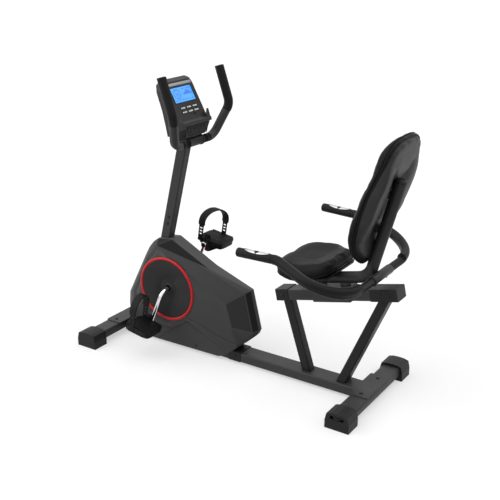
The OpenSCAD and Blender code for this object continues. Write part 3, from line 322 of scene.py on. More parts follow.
MATERIALS = {name: make(name, *values) for name, make, *values in (
    ("frame_paint", paint, (0.04, 0.038, 0.039), (0.11, 0.108, 0.108)),
    ("foot_plastic", moulded, (0.013, 0.0125, 0.013), 0.46, 900, 0.00006, 0.18),
    # The casing's last two numbers are its painted shade on sloping faces and its painted highlight on level
    # tops.
    ("casing_plastic", slope_shaded_plastic, (0.052, 0.05, 0.051), 0.45, 1300, 0.00004, 0.6, 1.15),
    ("disc_plastic", moulded, (0.021, 0.02, 0.0205), 0.42, 1300, 0.00003, 0.2),
    # A near-black for painted shade: plates on casing faces that lie in shade, and the jack's mouth.
    ("deep_plastic", moulded, (0.009, 0.0085, 0.009), 0.5, 1300, 0.00003, 0.12),
    ("ring_red", moulded, (0.62, 0.014, 0.018), 0.34, 600, 0.00002, 0.22),
    ("chrome", polished, (0.82, 0.82, 0.83), 0.08),
    ("steel", metal, (0.55, 0.56, 0.57), 0.3, 500, 0.00001, (1, 0.1, 1)),
    ("cast", metal, (0.3, 0.3, 0.31), 0.42, 240, 0.00006, (1, 1, 1)),
    ("frame_satin", paint, (0.0062, 0.006, 0.0062), (0.04, 0.038, 0.038), 0.14),
    # Shaded copies of the frame's paint: painted shade on the struts and the seat post.
    ("frame_dim", paint, (0.012, 0.0115, 0.012), (0.06, 0.058, 0.058), 0.18),
    ("frame_mid", paint, (0.024, 0.023, 0.024), (0.08, 0.078, 0.078)),
    ("label_print", moulded, (0.8, 0.8, 0.8), 0.5, 1500, 0.00001, 0.3),
    # A light grey for the painted highlight along the console's top edge.
    ("print_grey", moulded, (0.45, 0.45, 0.46), 0.5, 1500, 0.00001, 0.3),
    ("lcd_marks", lit_marks),
    ("bolt_black", paint, (0.008, 0.008, 0.008), (0.16, 0.15, 0.14)),
    ("pedal_plastic", pebbled, (0.005, 0.0048, 0.005), 0.5, 750, 0.0001, 0.13),
    ("strap_rubber", pebbled, (0.006, 0.0058, 0.006), 0.52, 950, 0.00008, 0.14),
    ("wheel_rubber", pebbled, (0.04, 0.04, 0.042), 0.6, 500, 0.0001),
    ("belt_rubber", pebbled, (0.014, 0.014, 0.014), 0.6, 700, 0.0001),
    ("grip_foam", pebbled, (0.0065, 0.0063, 0.0065), 0.5, 1200, 0.00012, 0.15),
    ("screen", lit_screen),
    ("key_plastic", moulded, (0.02, 0.02, 0.02), 0.5, 1500, 0.00002, 0.25),
    ("seat_vinyl", vinyl, (0.0048, 0.0047, 0.0048)),
    ("shell_plastic", moulded, (0.026, 0.026, 0.026), 0.44, 1000, 0.00004, 0.22),
    ("liner_plastic", moulded, (0.07, 0.07, 0.07), 0.5, 800, 0.00004),
)}


# ---------------------------------------------------------------- CAD nodes that stay

# How far a node's sharp edges are rounded, in millimetres; a node that isn't named has the plain break
EDGE_BREAKS = {"rear_foot_caps": 4, "front_foot_caps": 4, "beam_collar": 1, "main_beam": 1.2,
               "handlebar_clamp": 1.5, "lock_lever": 2}
PLAIN_BREAK = 0.7
UNBROKEN = {"brake_magnets", "drive_belt", "crank_bearings", "flywheel_axle"}
# Nodes whose paint is darker than their slot's own: a satin black on the handlebars, and on the struts and
# the seat post shaded copies of the frame's paint, which are painted shade
DARKER = {"side_handlebar": "frame_satin", "front_handlebar": "frame_satin", "front_strut": "frame_dim",
          "rear_strut": "frame_dim", "seat_post": "frame_mid"}


def dress_cad_nodes():
    """Gives every CAD node its finish, and softens its sharp edges with a bevel over the welded mesh."""
    for name, node in nodes.items():
        node.data.materials.clear()
        node.data.materials.append(MATERIALS[DARKER.get(name, slot_of[name])])
        if name not in UNBROKEN:
            weld(node)
            soften(node, EDGE_BREAKS.get(name, PLAIN_BREAK), 32, 2)


# ---------------------------------------------------------------- building blocks


def link(name, data):
    """A new object in the scene, for a mesh, a lamp or a camera."""
    item = bpy.data.objects.new(name, data)
    bpy.context.scene.collection.objects.link(item)
    return item


def mesh_piece(name, points, faces, frame_matrix=Matrix()):
    """An object from points in millimetres, set in place by a matrix that is in millimetres too."""
    mesh = bpy.data.meshes.new(name)
    mesh.from_pydata([frame_matrix @ Vector(p) * MM for p in points], [], faces)
    work = bmesh.new()
    work.from_mesh(mesh)
    bmesh.ops.recalc_face_normals(work, faces=work.faces)
    work.to_mesh(mesh)
    work.free()
    mesh.shade_smooth()
    return link(name, mesh)


def place(piece, body, slot, *replaced, finish=None):
    """Puts a piece on a body, in place of CAD nodes, with its slot's material, or the finish's where one is
    given.
    """
    piece.data.materials.clear()
    piece.data.materials.append(MATERIALS[finish or slot])
    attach(piece, body)
    if replaced:
        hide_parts(*replaced)
    return piece


def settle(piece):
    """Applies every modifier to the piece's mesh."""
    graph = bpy.context.evaluated_depsgraph_get()
    mesh = bpy.data.meshes.new_from_object(piece.evaluated_get(graph))
    piece.modifiers.clear()
    old = piece.data
    piece.data = mesh
    bpy.data.meshes.remove(old)
    return piece


def weld(piece):
    piece.modifiers.new("weld", "WELD").merge_threshold = 0.02 * MM


def thicken(piece, thickness, offset):
    """Gives a sheet a wall: on the inner side of its faces at offset -1, and on both sides at 0."""
    wall = piece.modifiers.new("wall", "SOLIDIFY")
    wall.thickness = thickness * MM
    wall.offset = offset
    return settle(piece)


def soften(piece, width, angle=30, segments=3):
    """Rounds the edges that are sharper than an angle."""
    bevel = piece.modifiers.new("edges", "BEVEL")
    bevel.width = width * MM
    bevel.segments = segments
    bevel.limit_method = "ANGLE"
    bevel.angle_limit = math.radians(angle)
    bevel.harden_normals = True
    return piece


def rows_to_faces(rows, count, closed=False):
    """Quads of a grid of points that is stored row after row, where each row is a ring."""
    faces = []
    for i in range(rows if closed else rows - 1):
        a, b = i * count, (i + 1) % rows * count
        for j in range(count):
            k = (j + 1) % count
            faces.append((a + j, a + k, b + k, b + j))
    return faces


def ends_of(rows, count):
    """A flat face on the first row of such a grid, and one on the last."""
    return [tuple(range(count)), tuple(range((rows - 1) * count, rows * count))]


def fan(start, count, tip):
    """Triangles from a row of points that begins at start, to one point at its middle."""
    return [(start + i, start + (i + 1) % count, tip) for i in range(count)]


def sweep(name, path, section, closed=False, frame_matrix=Matrix(), up=Vector((0, 0, 1))):
    """Carries a closed 2-D section along a path; the section's second axis leans towards up."""
    path = [Vector(p) for p in path]
    count = len(path)
    points = []
    for i, at in enumerate(path):
        before = path[i - 1] if closed or i else at
        after = path[(i + 1) % count] if closed or i < count - 1 else at
        ahead = (after - before).normalized()
        side = ahead.cross(up)
        side = side.normalized() if side.length > 1e-6 else Vector((1, 0, 0))
        rise = side.cross(ahead)
        points += [at + side * u + rise * v for u, v in section]
    faces = rows_to_faces(count, len(section), closed)
    if not closed:
        faces += ends_of(count, len(section))
    return mesh_piece(name, points, faces, frame_matrix)


def circle(radius, count=12, flat=1.0):
    return [(radius * math.cos(math.tau * i / count), radius * flat * math.sin(math.tau * i / count))
            for i in range(count)]


def flowing(points, per=6, closed=False):
    """A Catmull-Rom curve through the points."""
    points = [Vector(p) for p in points]
    n = len(points)
    out = []
    for i in range(n if closed else n - 1):
        if closed:
            a, b, c, d = (points[(i + k) % n] for k in (-1, 0, 1, 2))
        else:
            a, b, c, d = points[max(i - 1, 0)], points[i], points[i + 1], points[min(i + 2, n - 1)]
        for step in range(per):
            t = step / per
            out.append(0.5 * (2 * b + (c - a) * t + (2 * a - 5 * b + 4 * c - d) * t * t
                              + (3 * b - a - 3 * c + d) * t ** 3))
    if not closed:
        out.append(points[-1])
    return out


def box(x0, x1, y0, y1):
    return [(x0, y0), (x1, y0), (x1, y1), (x0, y1)]


def slab(name, outline, low, high, frame_matrix, edge=1.5, crown=0.0, angle=30):
    """A plate from a 2-D outline in a frame's X and Y, between two heights, with rounded edges."""
    n = len(outline)
    points = [(x, y, z) for z in (low, high) for x, y in outline]
    if crown:
        mid = sum((Vector(p) for p in outline), Vector((0, 0))) / n
        points += [(*mid.lerp(Vector(p), 0.55), high + crown * 0.8) for p in outline]
        points.append((*mid, high + crown))
        faces = [tuple(range(n))] + rows_to_faces(3, n) + fan(2 * n, n, 3 * n)
    else:
        faces = rows_to_faces(2, n) + ends_of(2, n)
    return soften(mesh_piece(name, points, faces, frame_matrix), edge, angle)


def joined(name, pieces):
    """One piece from several that share a material."""
    work = bmesh.new()
    for piece in pieces:
        settle(piece)
        piece.data.transform(piece.matrix_world)
        work.from_mesh(piece.data)
        bpy.data.objects.remove(piece)
    mesh = bpy.data.meshes.new(name)
    work.to_mesh(mesh)
    work.free()
    mesh.shade_smooth()
    whole = link(name, mesh)
    mesh.set_sharp_from_angle(angle=math.radians(34))
    return whole


def mirrored(piece, name):
    """The same piece on the bike's other side."""
    mesh = piece.data.copy()
    mesh.transform(Matrix.Diagonal((1, -1, 1, 1)))
    mesh.flip_normals()
    return link(name, mesh)


def place_pair(left, body, slot, *replaced, finish=None):
    """Places a left piece and its mirror image, which stands for the CAD nodes."""
    right = mirrored(left, left.name.replace("left", "right"))
    place(right, body, slot, *replaced, finish=finish)
    place(left, body, slot, finish=finish)


def tree_of(piece):
    graph = bpy.context.evaluated_depsgraph_get()
    return BVHTree.FromObject(piece.evaluated_get(graph), graph)


def within(tree, point):
    """Whether a point is inside a closed piece, by counting the walls on the way out."""
    way = Vector((0.31, 0.57, 0.76)).normalized()
    walls = 0
    at = point
    for _ in range(12):
        hit = tree.ray_cast(at, way)[0]
        if hit is None:
            break
        walls += 1
        at = hit + way * 1e-6
    return walls % 2 == 1


def skin_at(tree, ray, far):
    """Where ray(distance), a path out of a closed piece, leaves it."""
    low, high = 0.0, far
    for _ in range(16):
        middle = (low + high) / 2
        if within(tree, ray(middle)):
            low = middle
        else:
            high = middle
    return ray(high)


# ---------------------------------------------------------------- cushions

REAR_X = -590.85          # the rear foot's centre, from which most lengths are taken
CLOTH = {"use_pressure": True, "uniform_pressure_force": 4, "quality": 4, "mass": 0.3,
         "tension_stiffness": 18, "compression_stiffness": 18, "bending_stiffness": 2}
CLOTH_FRAMES = 20
SWELL_CAP = 6             # how far blowing a cushion up may move a point
SEAM_DEPTH = 2.2
SEARCH = 0.4              # how far out from a cushion's middle its skin is looked for, in metres


def along(profile, z):
    """A profile's X at height z, carried on past its ends. The profile is a list of (x, z)."""
    for (x0, z0), (x1, z1) in zip(profile, profile[1:]):
        if z <= z1 or z1 == profile[-1][1]:
            return x0 + (x1 - x0) * (z - z0) / (z1 - z0)


def smooth_step(t):
    """Eases from 0 to 1 as t does."""
    t = min(1, max(0, t))
    return t * t * (3 - 2 * t)


def ease(piece, rounds):
    smooth = piece.modifiers.new("ease", "SMOOTH")
    smooth.factor = 0.5
    smooth.iterations = rounds


def swell(piece):
    """Blows the piece up as cloth, and lets no point move further than the cap."""
    scene = bpy.context.scene
    rest = [v.co.copy() for v in piece.data.vertices]
    cloth = piece.modifiers.new("cloth", "CLOTH")
    for setting, value in CLOTH.items():
        setattr(cloth.settings, setting, value)
    cloth.settings.effector_weights.gravity = 0
    cloth.collision_settings.use_self_collision = False
    cloth.point_cache.frame_start = 1
    cloth.point_cache.frame_end = CLOTH_FRAMES
    for number in range(1, CLOTH_FRAMES + 1):
        scene.frame_set(number)
    settle(piece)
    for vertex, start in zip(piece.data.vertices, rest):
        move = vertex.co - start
        if move.length > SWELL_CAP * MM:
            vertex.co = start + move.normalized() * SWELL_CAP * MM
    scene.frame_set(1)
    ease(piece, 4)
    settle(piece)


def cushion_form(name, rings, voxel):
    """A closed soft form through rings of points in millimetres, remeshed and ready to be blown up."""
    count = len(rings[0])
    points = [p for ring in rings for p in ring]
    faces = rows_to_faces(len(rings), count)
    for row in (0, len(rings) - 1):
        faces += fan(row * count, count, len(points))
        points.append(sum(rings[row], Vector()) / count)
    piece = mesh_piece(name, points, faces)
    grid = piece.modifiers.new("grid", "REMESH")
    grid.mode = "VOXEL"
    grid.voxel_size = voxel * MM
    ease(piece, 6)
    return settle(piece)


def mirror_outline(half):
    """A closed outline from its left half, which runs from one end of the middle line to the other."""
    return half + [(x, -y) for x, y in half[-2:0:-1]]


def press_seams(piece, seams, width):
    """Draws the surface in along sewn lines."""
    points = [p for seam in seams for p in seam]
    tree = KDTree(len(points))
    for i, p in enumerate(points):
        tree.insert(p, i)
    tree.balance()
    normals = [v.normal.copy() for v in piece.data.vertices]
    for vertex, normal in zip(piece.data.vertices, normals):
        distance = tree.find(vertex.co)[2] / (width * MM)
        vertex.co -= normal * SEAM_DEPTH * MM * math.exp(-distance * distance)


def finish_cushion(piece, pad):
    """Smooths a sewn cushion, which stands for the CAD's plain pad."""
    piece.data.shade_smooth()
    smooth = piece.modifiers.new("smooth", "SUBSURF")
    smooth.levels = smooth.render_levels = 1
    settle(piece)
    piece.data.shade_smooth()
    place(piece, "seat", "seat_vinyl", pad)


def piping(name, seam, radius, up):
    cord = sweep(name, [p / MM for p in seam], circle(radius, 10), closed=True, up=up)
    place(cord, "seat", "seat_vinyl")


SEAT_MID = Vector((-336.85, 0, 515))
SEAT_TURN = Matrix.Translation(SEAT_MID) @ Matrix.Rotation(math.radians(3.3), 4, "Y")
# The left half of its outline, from the front to the rear: X and Y from its middle
SEAT_HALF = [(121, 0), (120, 70), (108, 122), (78, 158), (30, 183), (-14, 185), (-52, 167), (-90, 140),
             (-113, 108), (-121, 62), (-123, 0)]
# Height over the pan, and share of the outline
SEAT_LEVELS = [(-10, 0.9), (-8, 0.95), (-2, 0.98), (10, 0.99), (22, 0.985), (32, 0.965), (39, 0.92),
               (43, 0.84), (45, 0.6), (45, 0.3)]
SEAT_HOLLOW = 9           # how deep the sitter's hollow is
SEAT_CROWN = 4            # how far the front edge of the top rises
SEAT_TAIL = 12            # and its rear edge
SEAT_LIFT = 10            # how far the underside rises at the rear


def toward_rear(x):
    return smooth_step((-x - 40) / 75)


def seat_cushion():
    plan = flowing([(x, y, 0) for x, y in mirror_outline(SEAT_HALF)], 8, closed=True)
    rings = []
    for height, share in SEAT_LEVELS:
        ring = []
        for p in plan:
            x, y = p.x * share, p.y * share
            wide = min(1, abs(y) / 170)
            hollow = SEAT_HOLLOW * (1 - wide ** 2) * math.exp(-((x + 25) / 70) ** 2)
            front = SEAT_CROWN * math.exp(-((x - 80) / 40) ** 2)
            rear = SEAT_TAIL * smooth_step((-x - 45) / 70)
            top = (front + rear - hollow) * min(1, height / 45) ** 3
            under = SEAT_LIFT * toward_rear(x) * max(0, 1 - height / 30)
            ring.append(SEAT_TURN @ Vector((x, y, height + top + under)))
        rings.append(ring)
    piece = cushion_form("seat_cushion", rings, 5)
    swell(piece)
    seam = seat_seam(tree_of(piece))
    press_seams(piece, [seam], 5)
    finish_cushion(piece, "seat_pad")
    piping("seat_piping", seam, 2.1, Vector((0, 0, 1)))


def seat_seam(tree, height=1, rise=15, count=180):
    """The sewn line round the seat, which rises towards the rear."""
    def path(turn):
        def at(distance):
            p = Vector((math.cos(turn), math.sin(turn), 0)) * distance / MM
            p.z = height + rise * toward_rear(p.x)
            return SEAT_TURN @ p * MM
        return at
    return [skin_at(tree, path(math.tau * i / count), SEARCH) for i in range(count)]


# The cushion's front and rear faces: X from the rear foot's centre, and height
BACK_FACE = [(54, 563), (63, 625), (62, 690), (48, 755), (18, 840), (-17, 930), (-42, 1035), (-54, 1084)]
BACK_REAR = [(24, 563), (14, 690), (4, 740), (-10, 800), (-47, 905), (-88, 990), (-120, 1084)]
# The left half of its outline, from the top down: height and Y
BACK_HALF = [(1077, 0), (1075, 50), (1065, 91), (1041, 122), (1000, 140), (960, 150), (920, 158), (870, 165),
             (780, 162), (730, 156), (690, 149), (655, 136), (622, 113), (594, 80), (576, 42), (571, 0)]
# Share of the depth from the front, and share of the outline
BACK_LEVELS = [(0.04, 0.3), (0.04, 0.6), (0.07, 0.82), (0.17, 0.93), (0.34, 0.98), (0.55, 0.995),
               (0.8, 0.995), (0.9, 0.97), (0.93, 0.9), (0.93, 0.5)]
BACK_HEART = 850          # the height that the outline is scaled about
BACK_HOLLOW = 8           # how deep the hollow down its middle is
BACK_BROW = 13            # how far its top edge leans back
SEAM_SHARES = (0.52, 0.8)
SHELL_BULGE = 26
# The shell's rim: how far back its two rings are, as shares of the depth, and how far they stand out
SHELL_RIM = ((0.8, 1.6), (0.87, 2.6))
# Inward from the rim: share of the outline, and depth behind the cushion's rear face
SHELL_LEVELS = ((0.998, -2.5), (0.985, 0), (0.96, 2), (0.92, 3.4), (0.84, 4.6), (0.7, 5.6), (0.5, 6.2),
                (0.25, 6.2))


def back_ring(tree, share, count=200):
    """A ring on the cushion's skin, at a share of its depth from the front."""
    def path(turn):
        def at(distance):
            y = distance / MM * math.cos(turn)
            z = BACK_HEART + distance / MM * math.sin(turn)
            x = along(BACK_FACE, z) * (1 - share) + along(BACK_REAR, z) * share
            return Vector((REAR_X + x, y, z)) * MM
        return at
    return [skin_at(tree, path(math.tau * i / count), SEARCH) for i in range(count)]


def back_cushion():
    view = flowing([(y, z, 0) for z, y in mirror_outline(BACK_HALF)], 8, closed=True)
    rings = []
    for depth, share in BACK_LEVELS:
        ring = []
        for p in view:
            y, z = p.x * share, BACK_HEART + (p.y - BACK_HEART) * share
            front = along(BACK_FACE, z) - BACK_BROW * smooth_step((z - 1020) / 60) * (1 - depth)
            hollow = BACK_HOLLOW * math.exp(-((y / 80) ** 2)) * math.exp(-(((z - 900) / 150) ** 2))
            x = front * (1 - depth) + along(BACK_REAR, z) * depth - hollow * max(0, 1 - depth / 0.3)
            ring.append(Vector((REAR_X + x, y, z)))
        rings.append(ring)
    piece = cushion_form("back_cushion", rings, 6)
    swell(piece)
    tree = tree_of(piece)
    seams = [back_ring(tree, share) for share in SEAM_SHARES]
    press_seams(piece, seams, 6)
    rim = [(back_ring(tree, share), out) for share, out in SHELL_RIM]
    finish_cushion(piece, "back_pad")
    for number, seam in enumerate(seams):
        piping(f"back_piping_{number + 1}", seam, 2.0, Vector((1, 0, 0)))
    back_shell(rim)


def shell_bulge(y, z):
    """How much deeper the shell is above the post and beside it than along it."""
    beside = smooth_step((abs(y) - 42) / 40)
    above = smooth_step((z - 922) / 30)
    share = max(beside, above) * smooth_step((z - 660) / 140) * (1 - smooth_step((z - 895) / 115))
    return SHELL_BULGE * share


def back_shell(rim):
    """The moulded shell behind the cushion: a lip round its edge and a smooth, slightly domed back."""
    rows = []
    for ring, out in rim:
        row = []
        for at in ring:
            p = at / MM
            row.append(p + Vector((0, p.y, p.z - BACK_HEART)).normalized() * out)
        rows.append(row)
    edge = rows[-1]
    for share, deep in SHELL_LEVELS:
        row = []
        for p in edge:
            y, z = p.y * share, BACK_HEART + (p.z - BACK_HEART) * share
            bulge = shell_bulge(y, z) * min(1, (1 - share) / 0.06)
            row.append(Vector((REAR_X + along(BACK_REAR, z) - deep - bulge, y, z)))
        rows.append(row)
    count = len(edge)
    points = [p for row in rows for p in row]
    faces = rows_to_faces(len(rows), count) + fan(len(points) - count, count, len(points))
    points.append(Vector((REAR_X + along(BACK_REAR, BACK_HEART) - SHELL_LEVELS[-1][1], 0, BACK_HEART)))
    piece = thicken(mesh_piece("back_shell_moulding", points, faces), 2.4, -1)
    piece.data.shade_smooth()
    place(piece, "seat", "shell_plastic", "back_shell")


# ---------------------------------------------------------------- casing

# Corners of the left half, X from the rear foot's centre, Y and Z. First those next to the middle plane,
# in their order round it
CASING_BORDER = {
    "under4": (603, 38, 76), "under3": (573, 18, 98), "under2": (540, 15, 127), "under1": (519, 13, 149),
    "heel": (509, 10, 169), "tail": (550, 10, 341), "kink": (748, 29, 400), "top": (942, 32, 497),
    "top_front": (1014, 32, 489), "nose1": (1042, 34, 468), "nose2": (1066, 36, 437),
    "front1": (1088, 38, 396), "front2": (1185, 42, 203), "front3": (1190, 42, 150),
    "front4": (1186, 44, 60), "front5": (1180, 46, 14),
}
CASING = {
    **CASING_BORDER, **{name + "_mid": (x, 0, z) for name, (x, y, z) in CASING_BORDER.items()},
    "foot_rear": (660, 48, 26), "foot_mid": (695, 49, 15), "strip_top": (569, 30, 329),
    "strip_low": (531, 30, 161), "point": (641, 68, 280), "chin": (618, 58, 173), "jaw": (604, 46, 93),
    "wedge": (835, 39.5, 421.6), "brow": (1006, 60, 464), "crease": (835, 76, 389),
    "cheek1": (1060, 66, 390), "cheek2": (1140, 68, 230), "cheek3": (1145, 66, 150), "cheek4": (1130, 61, 94),
    "ledge1": (1009, 65, 94), "ledge2": (922, 65, 93), "peak": (843, 66, 147), "groove": (745, 63, 128),
    "hill_left": (1016, 51, 15), "hill_right": (688, 51, 60),
}
CASING_FACES = [f"{a}_mid {a} {b} {b}_mid" for a, b in zip(CASING_BORDER, list(CASING_BORDER)[1:])]
CASING_FACES += [
    "top_front brow top", "top brow wedge kink", "kink wedge strip_top tail", "brow crease wedge",
    "crease point strip_top wedge", "point chin strip_low strip_top", "tail strip_top strip_low heel",
    "heel strip_low under1", "strip_low under2 under1", "strip_low chin under3 under2", "chin jaw under3",
    "jaw under4 under3", "chin groove jaw", "groove hill_right foot_rear under4 jaw",
    "groove peak hill_right", "peak hill_left foot_mid hill_right", "hill_right foot_mid foot_rear",
    "ledge2 hill_left peak",
    "ledge1 hill_left ledge2", "ledge1 cheek4 front5 hill_left", "cheek4 front4 front5",
    "cheek3 front3 front4 cheek4", "cheek2 front2 front3 cheek3", "cheek1 front1 front2 cheek2",
    "brow top_front nose1", "brow nose1 nose2 cheek1", "cheek1 nose2 front1",
]
CASING_SIDE = "brow cheek1 cheek2 cheek3 cheek4 ledge1 ledge2 peak groove chin point crease"
# How round each edge is, in millimetres; the rest have a crisp break
CASING_ROUND = {
    "brow cheek1": 13, "cheek1 cheek2": 15, "cheek2 cheek3": 15, "cheek3 cheek4": 13, "top_front brow": 8,
    "front1 front2": 5, "front2 front3": 5, "front3 front4": 5, "top_front nose1": 3, "nose1 nose2": 3,
    "nose2 front1": 4, "brow nose1": 7, "cheek1 nose2": 0, "crease wedge": 0, "top_front_mid top_front": 0,
    "nose1_mid nose1": 8, "nose2_mid nose2": 8, "front1_mid front1": 8, "heel under1": 4,
    "strip_low chin": 5, "crease point": 4, "chin groove": 6, "peak groove": 3, "brow wedge": 2.2,
    "brow crease": 6, "chin jaw": 7, "groove jaw": 6,
}
CRISP = 1.3
ROUNDEST = 15
# The round pod on its side: the crank's X and Z, how far out it stands, and the hole for the disc cover
CRANK_AT = Vector((349.15, 283))
POD_Y = 79.8
POD_R = 143.5
POD_LIP = 1.2
RING_HOLE_R = 133.8
HOLE_DEPTH = 18
RING_MID, RING_Y = 137.6, 80.8
# Dark plates on the faces that lie in shade, which are painted shade: corners, finish, and how far inside the
# edges they end
SHADE_PLATES = [
    ("point chin strip_low strip_top", "disc_plastic", 2.6),
    ("tail strip_top strip_low heel", "deep_plastic", 2.6),
    ("top brow kink", "deep_plastic", 1.4),
    ("top_front brow top", "deep_plastic", 1.4),
]
# Dark lines along the grooves and steps on each side, which are painted shade: their half width, and points
# as X from the rear foot's centre and Z
SHADE_LINES = [
    (1.7, [(829, 173), (773, 150), (715, 127), (668, 111), (610, 97)]),
    (1.3, [(843, 147), (889, 118), (981, 53), (1018, 18)]),
    (1.3, [(820, 124), (749, 97), (699, 71), (684, 52)]),
    (1.2, [(1005, 94), (925, 93)]),
    (1.3, [(943, 92), (889, 113), (848, 143)]),
]


def casing_half():
    names = list(CASING)
    at = {name: i for i, name in enumerate(names)}
    points = [(x + REAR_X, y, z) for x, y, z in CASING.values()]
    faces = [[at[n] for n in face.split()] for face in CASING_FACES + [CASING_SIDE]]
    piece = mesh_piece("casing_skin_left", points, faces)
    weights = piece.data.attributes.new("bevel_weight_edge", "FLOAT", "EDGE")
    rounds = {frozenset(at[n] for n in edge.split()): size for edge, size in CASING_ROUND.items()}
    for edge in piece.data.edges:
        ends = frozenset(edge.vertices)
        on_middle = all(abs(points[v][1]) < 0.01 for v in ends)
        weights.data[edge.index].value = 0 if on_middle else rounds.get(ends, CRISP) / ROUNDEST
    for polygon in piece.data.polygons:
        polygon.material_index = 1 if len(polygon.vertices) == len(CASING_SIDE.split()) else 0
    piece.data.materials.append(None)
    piece.data.materials.append(None)
    bevel = piece.modifiers.new("round", "BEVEL")
    bevel.width = ROUNDEST * MM
    bevel.segments = 4
    bevel.limit_method = "WEIGHT"
    bevel.use_clamp_overlap = False
    bevel.loop_slide = False
    bevel.material = 0
    settle(piece)
    open_pod(piece)
    thicken(piece, 2.2, -1)
    piece.data.shade_smooth()
    piece.data.set_sharp_from_angle(angle=math.radians(40))
    return piece


def on_disc(radius, y, turn):
    """A point round the crank's axis."""
    return Vector((CRANK_AT.x + radius * math.cos(turn), y, CRANK_AT.y + radius * math.sin(turn)))


def open_pod(piece):
    """Swaps the flat side for one that rises to the ring round the crank, with a hole inside the ring."""
    work = bmesh.new()
    work.from_mesh(piece.data)
    side = max((f for f in work.faces if f.material_index == 1), key=lambda f: f.calc_area())
    rim = [loop.vert for loop in side.loops]
    work.faces.remove(side)
    dense = []
    for i, vertex in enumerate(rim):
        after = rim[(i + 1) % len(rim)]
        dense.append(vertex)
        cuts = int((after.co - vertex.co).length / (9 * MM))
        last = vertex
        for k in range(cuts):
            edge = work.edges.get((last, after))
            last = bmesh.utils.edge_split(edge, last, 1 / (cuts + 1 - k))[1]
            dense.append(last)
    turns = [math.atan2(v.co.z - CRANK_AT.y * MM, v.co.x - CRANK_AT.x * MM) for v in dense]
    rows = [dense]
    for share in (0.2, 0.4, 0.6, 0.8, 0.93, 1.0):
        row = []
        for vertex, turn in zip(dense, turns):
            goal = on_disc(POD_R, POD_Y, turn) * MM
            at = vertex.co.lerp(goal, share)
            at.y = vertex.co.y + (goal.y - vertex.co.y) * math.sin(share * math.pi / 2)
            row.append(work.verts.new(at))
        rows.append(row)
    for radius, y in ((POD_R - POD_LIP, POD_Y), (RING_HOLE_R, POD_Y), (RING_HOLE_R, POD_Y - HOLE_DEPTH)):
        rows.append([work.verts.new(on_disc(radius, y, t) * MM) for t in turns])
    n = len(dense)
    for inner, outer in zip(rows[1:], rows):
        for i in range(n):
            k = (i + 1) % n
            work.faces.new((outer[i], outer[k], inner[k], inner[i]))
    bmesh.ops.recalc_face_normals(work, faces=work.faces)
    if sum(f.normal.y * f.calc_area() for f in work.faces) < 0:
        bmesh.ops.reverse_faces(work, faces=work.faces)
    for face in work.faces:
        face.material_index = 0
    work.to_mesh(piece.data)
    work.free()


def shade_plate(name, corners, shrink, sunk=1.2, out=0.5):
    """A thin dark plate let into one of the casing's faces: painted shade on a face that lies in shade."""
    points = [Vector(CASING[c]) + Vector((REAR_X, 0, 0)) for c in corners.split()]
    normal = Vector()
    for a, b, c in zip(points, points[1:], points[2:]):
        normal += (b - a).cross(c - a)
    normal.normalize()
    if normal.y < 0:
        normal.negate()
        points.reverse()
    n = len(points)
    inner = []
    for i, p in enumerate(points):
        a, b = (points[i - 1] - p).normalized(), (points[(i + 1) % n] - p).normalized()
        wide = math.sqrt(max(1e-6, (1 - a.dot(b)) / 2))
        inner.append(p + (a + b).normalized() * shrink / wide)
    points = [p - normal * sunk for p in inner] + [p + normal * out for p in inner]
    return soften(mesh_piece(name, points, rows_to_faces(2, n) + ends_of(2, n)), 0.5, 40, 2)


def casing():
    left = casing_half()
    right = mirrored(left, "casing_skin_right")
    # Painted shade: dark lines along the casing's grooves and steps, on both sides.
    place_pair(shade_lines(tree_of(left)), "frame", "disc_plastic")
    place(joined("ring_beads", [ring_bead(1), ring_bead(-1)]), "frame", "ring_red", "ring_trims")
    place(left, "frame", "casing_plastic", "casing_left")
    place(right, "frame", "casing_plastic", "casing_right")
    # Painted shade: dark plates on the faces that lie in shade.
    for number, (corners, finish, shrink) in enumerate(SHADE_PLATES):
        plate = settle(shade_plate(f"casing_inlay_left_{number + 1}", corners, shrink))
        plate.data.shade_smooth()
        place_pair(plate, "frame", "disc_plastic", finish=finish)


def shade_lines(tree):
    """Dark lines on the casing's side, painted shade along its grooves and steps, found by looking at it from
    the left.
    """
    lines = []
    for half, points in SHADE_LINES:
        path = []
        for p in flowing([(x + REAR_X, 0, z) for x, z in points], 10):
            hit, normal = tree.ray_cast(Vector((p.x, 200, p.z)) * MM, Vector((0, -1, 0)))[:2]
            if hit:
                path.append(hit / MM - normal * 0.4)
        lines.append(sweep("line", path, circle(half, 8, 0.7), up=Vector((0, 1, 0))))
    return joined("casing_relief_left", lines)


def ring_bead(side):
    path = [on_disc(RING_MID, side * RING_Y, math.tau * k / 120) for k in range(120)]
    return sweep("bead", path, circle(6, 20, 0.7), closed=True, up=Vector((0, 1, 0)))


# ---------------------------------------------------------------- crank, pedals and straps

AXES = {"left": Vector((406.93, 0, 128.45)), "right": Vector((291.37, 0, 437.55))}
SIGN = {"left": 1, "right": -1}
CRANK_Y = 112
EYE_Y = 113
EYE_T = 17
PEDAL_TILT = math.radians(-9)
PEDAL_Y = 137             # the pedal's inner side
# The pedal's outline: X along the foot, Y outward from its inner side
PEDAL_PLAN = [(30, 0), (44, 5), (51, 20), (52, 54), (50, 88), (42, 103), (26, 109), (-22, 110), (-56, 109),
              (-72, 103), (-79, 88), (-80, 54), (-78, 18), (-71, 5), (-54, 0), (-12, -1)]
PEDAL_HEART, PEDAL_MID = -14, 54      # the outline's middle, along X and Y
# How far forward of the axle the inner and outer feet of each strap are
STRAP_FEET = {"left": (29, 10), "right": (36, -14)}
STRAP_R = 55              # the arc over the foot
STRAP_FOOT, STRAP_BEND = 4, 92        # heights over the axle where the band starts, and where it bends
STRAP_T = 3
STRAP_CELLS = 12          # across the band
SLOT_HEIGHTS = [(34, 40), (48, 54), (62, 68)]
SLOT_MARGIN = 3           # cells beside a slot


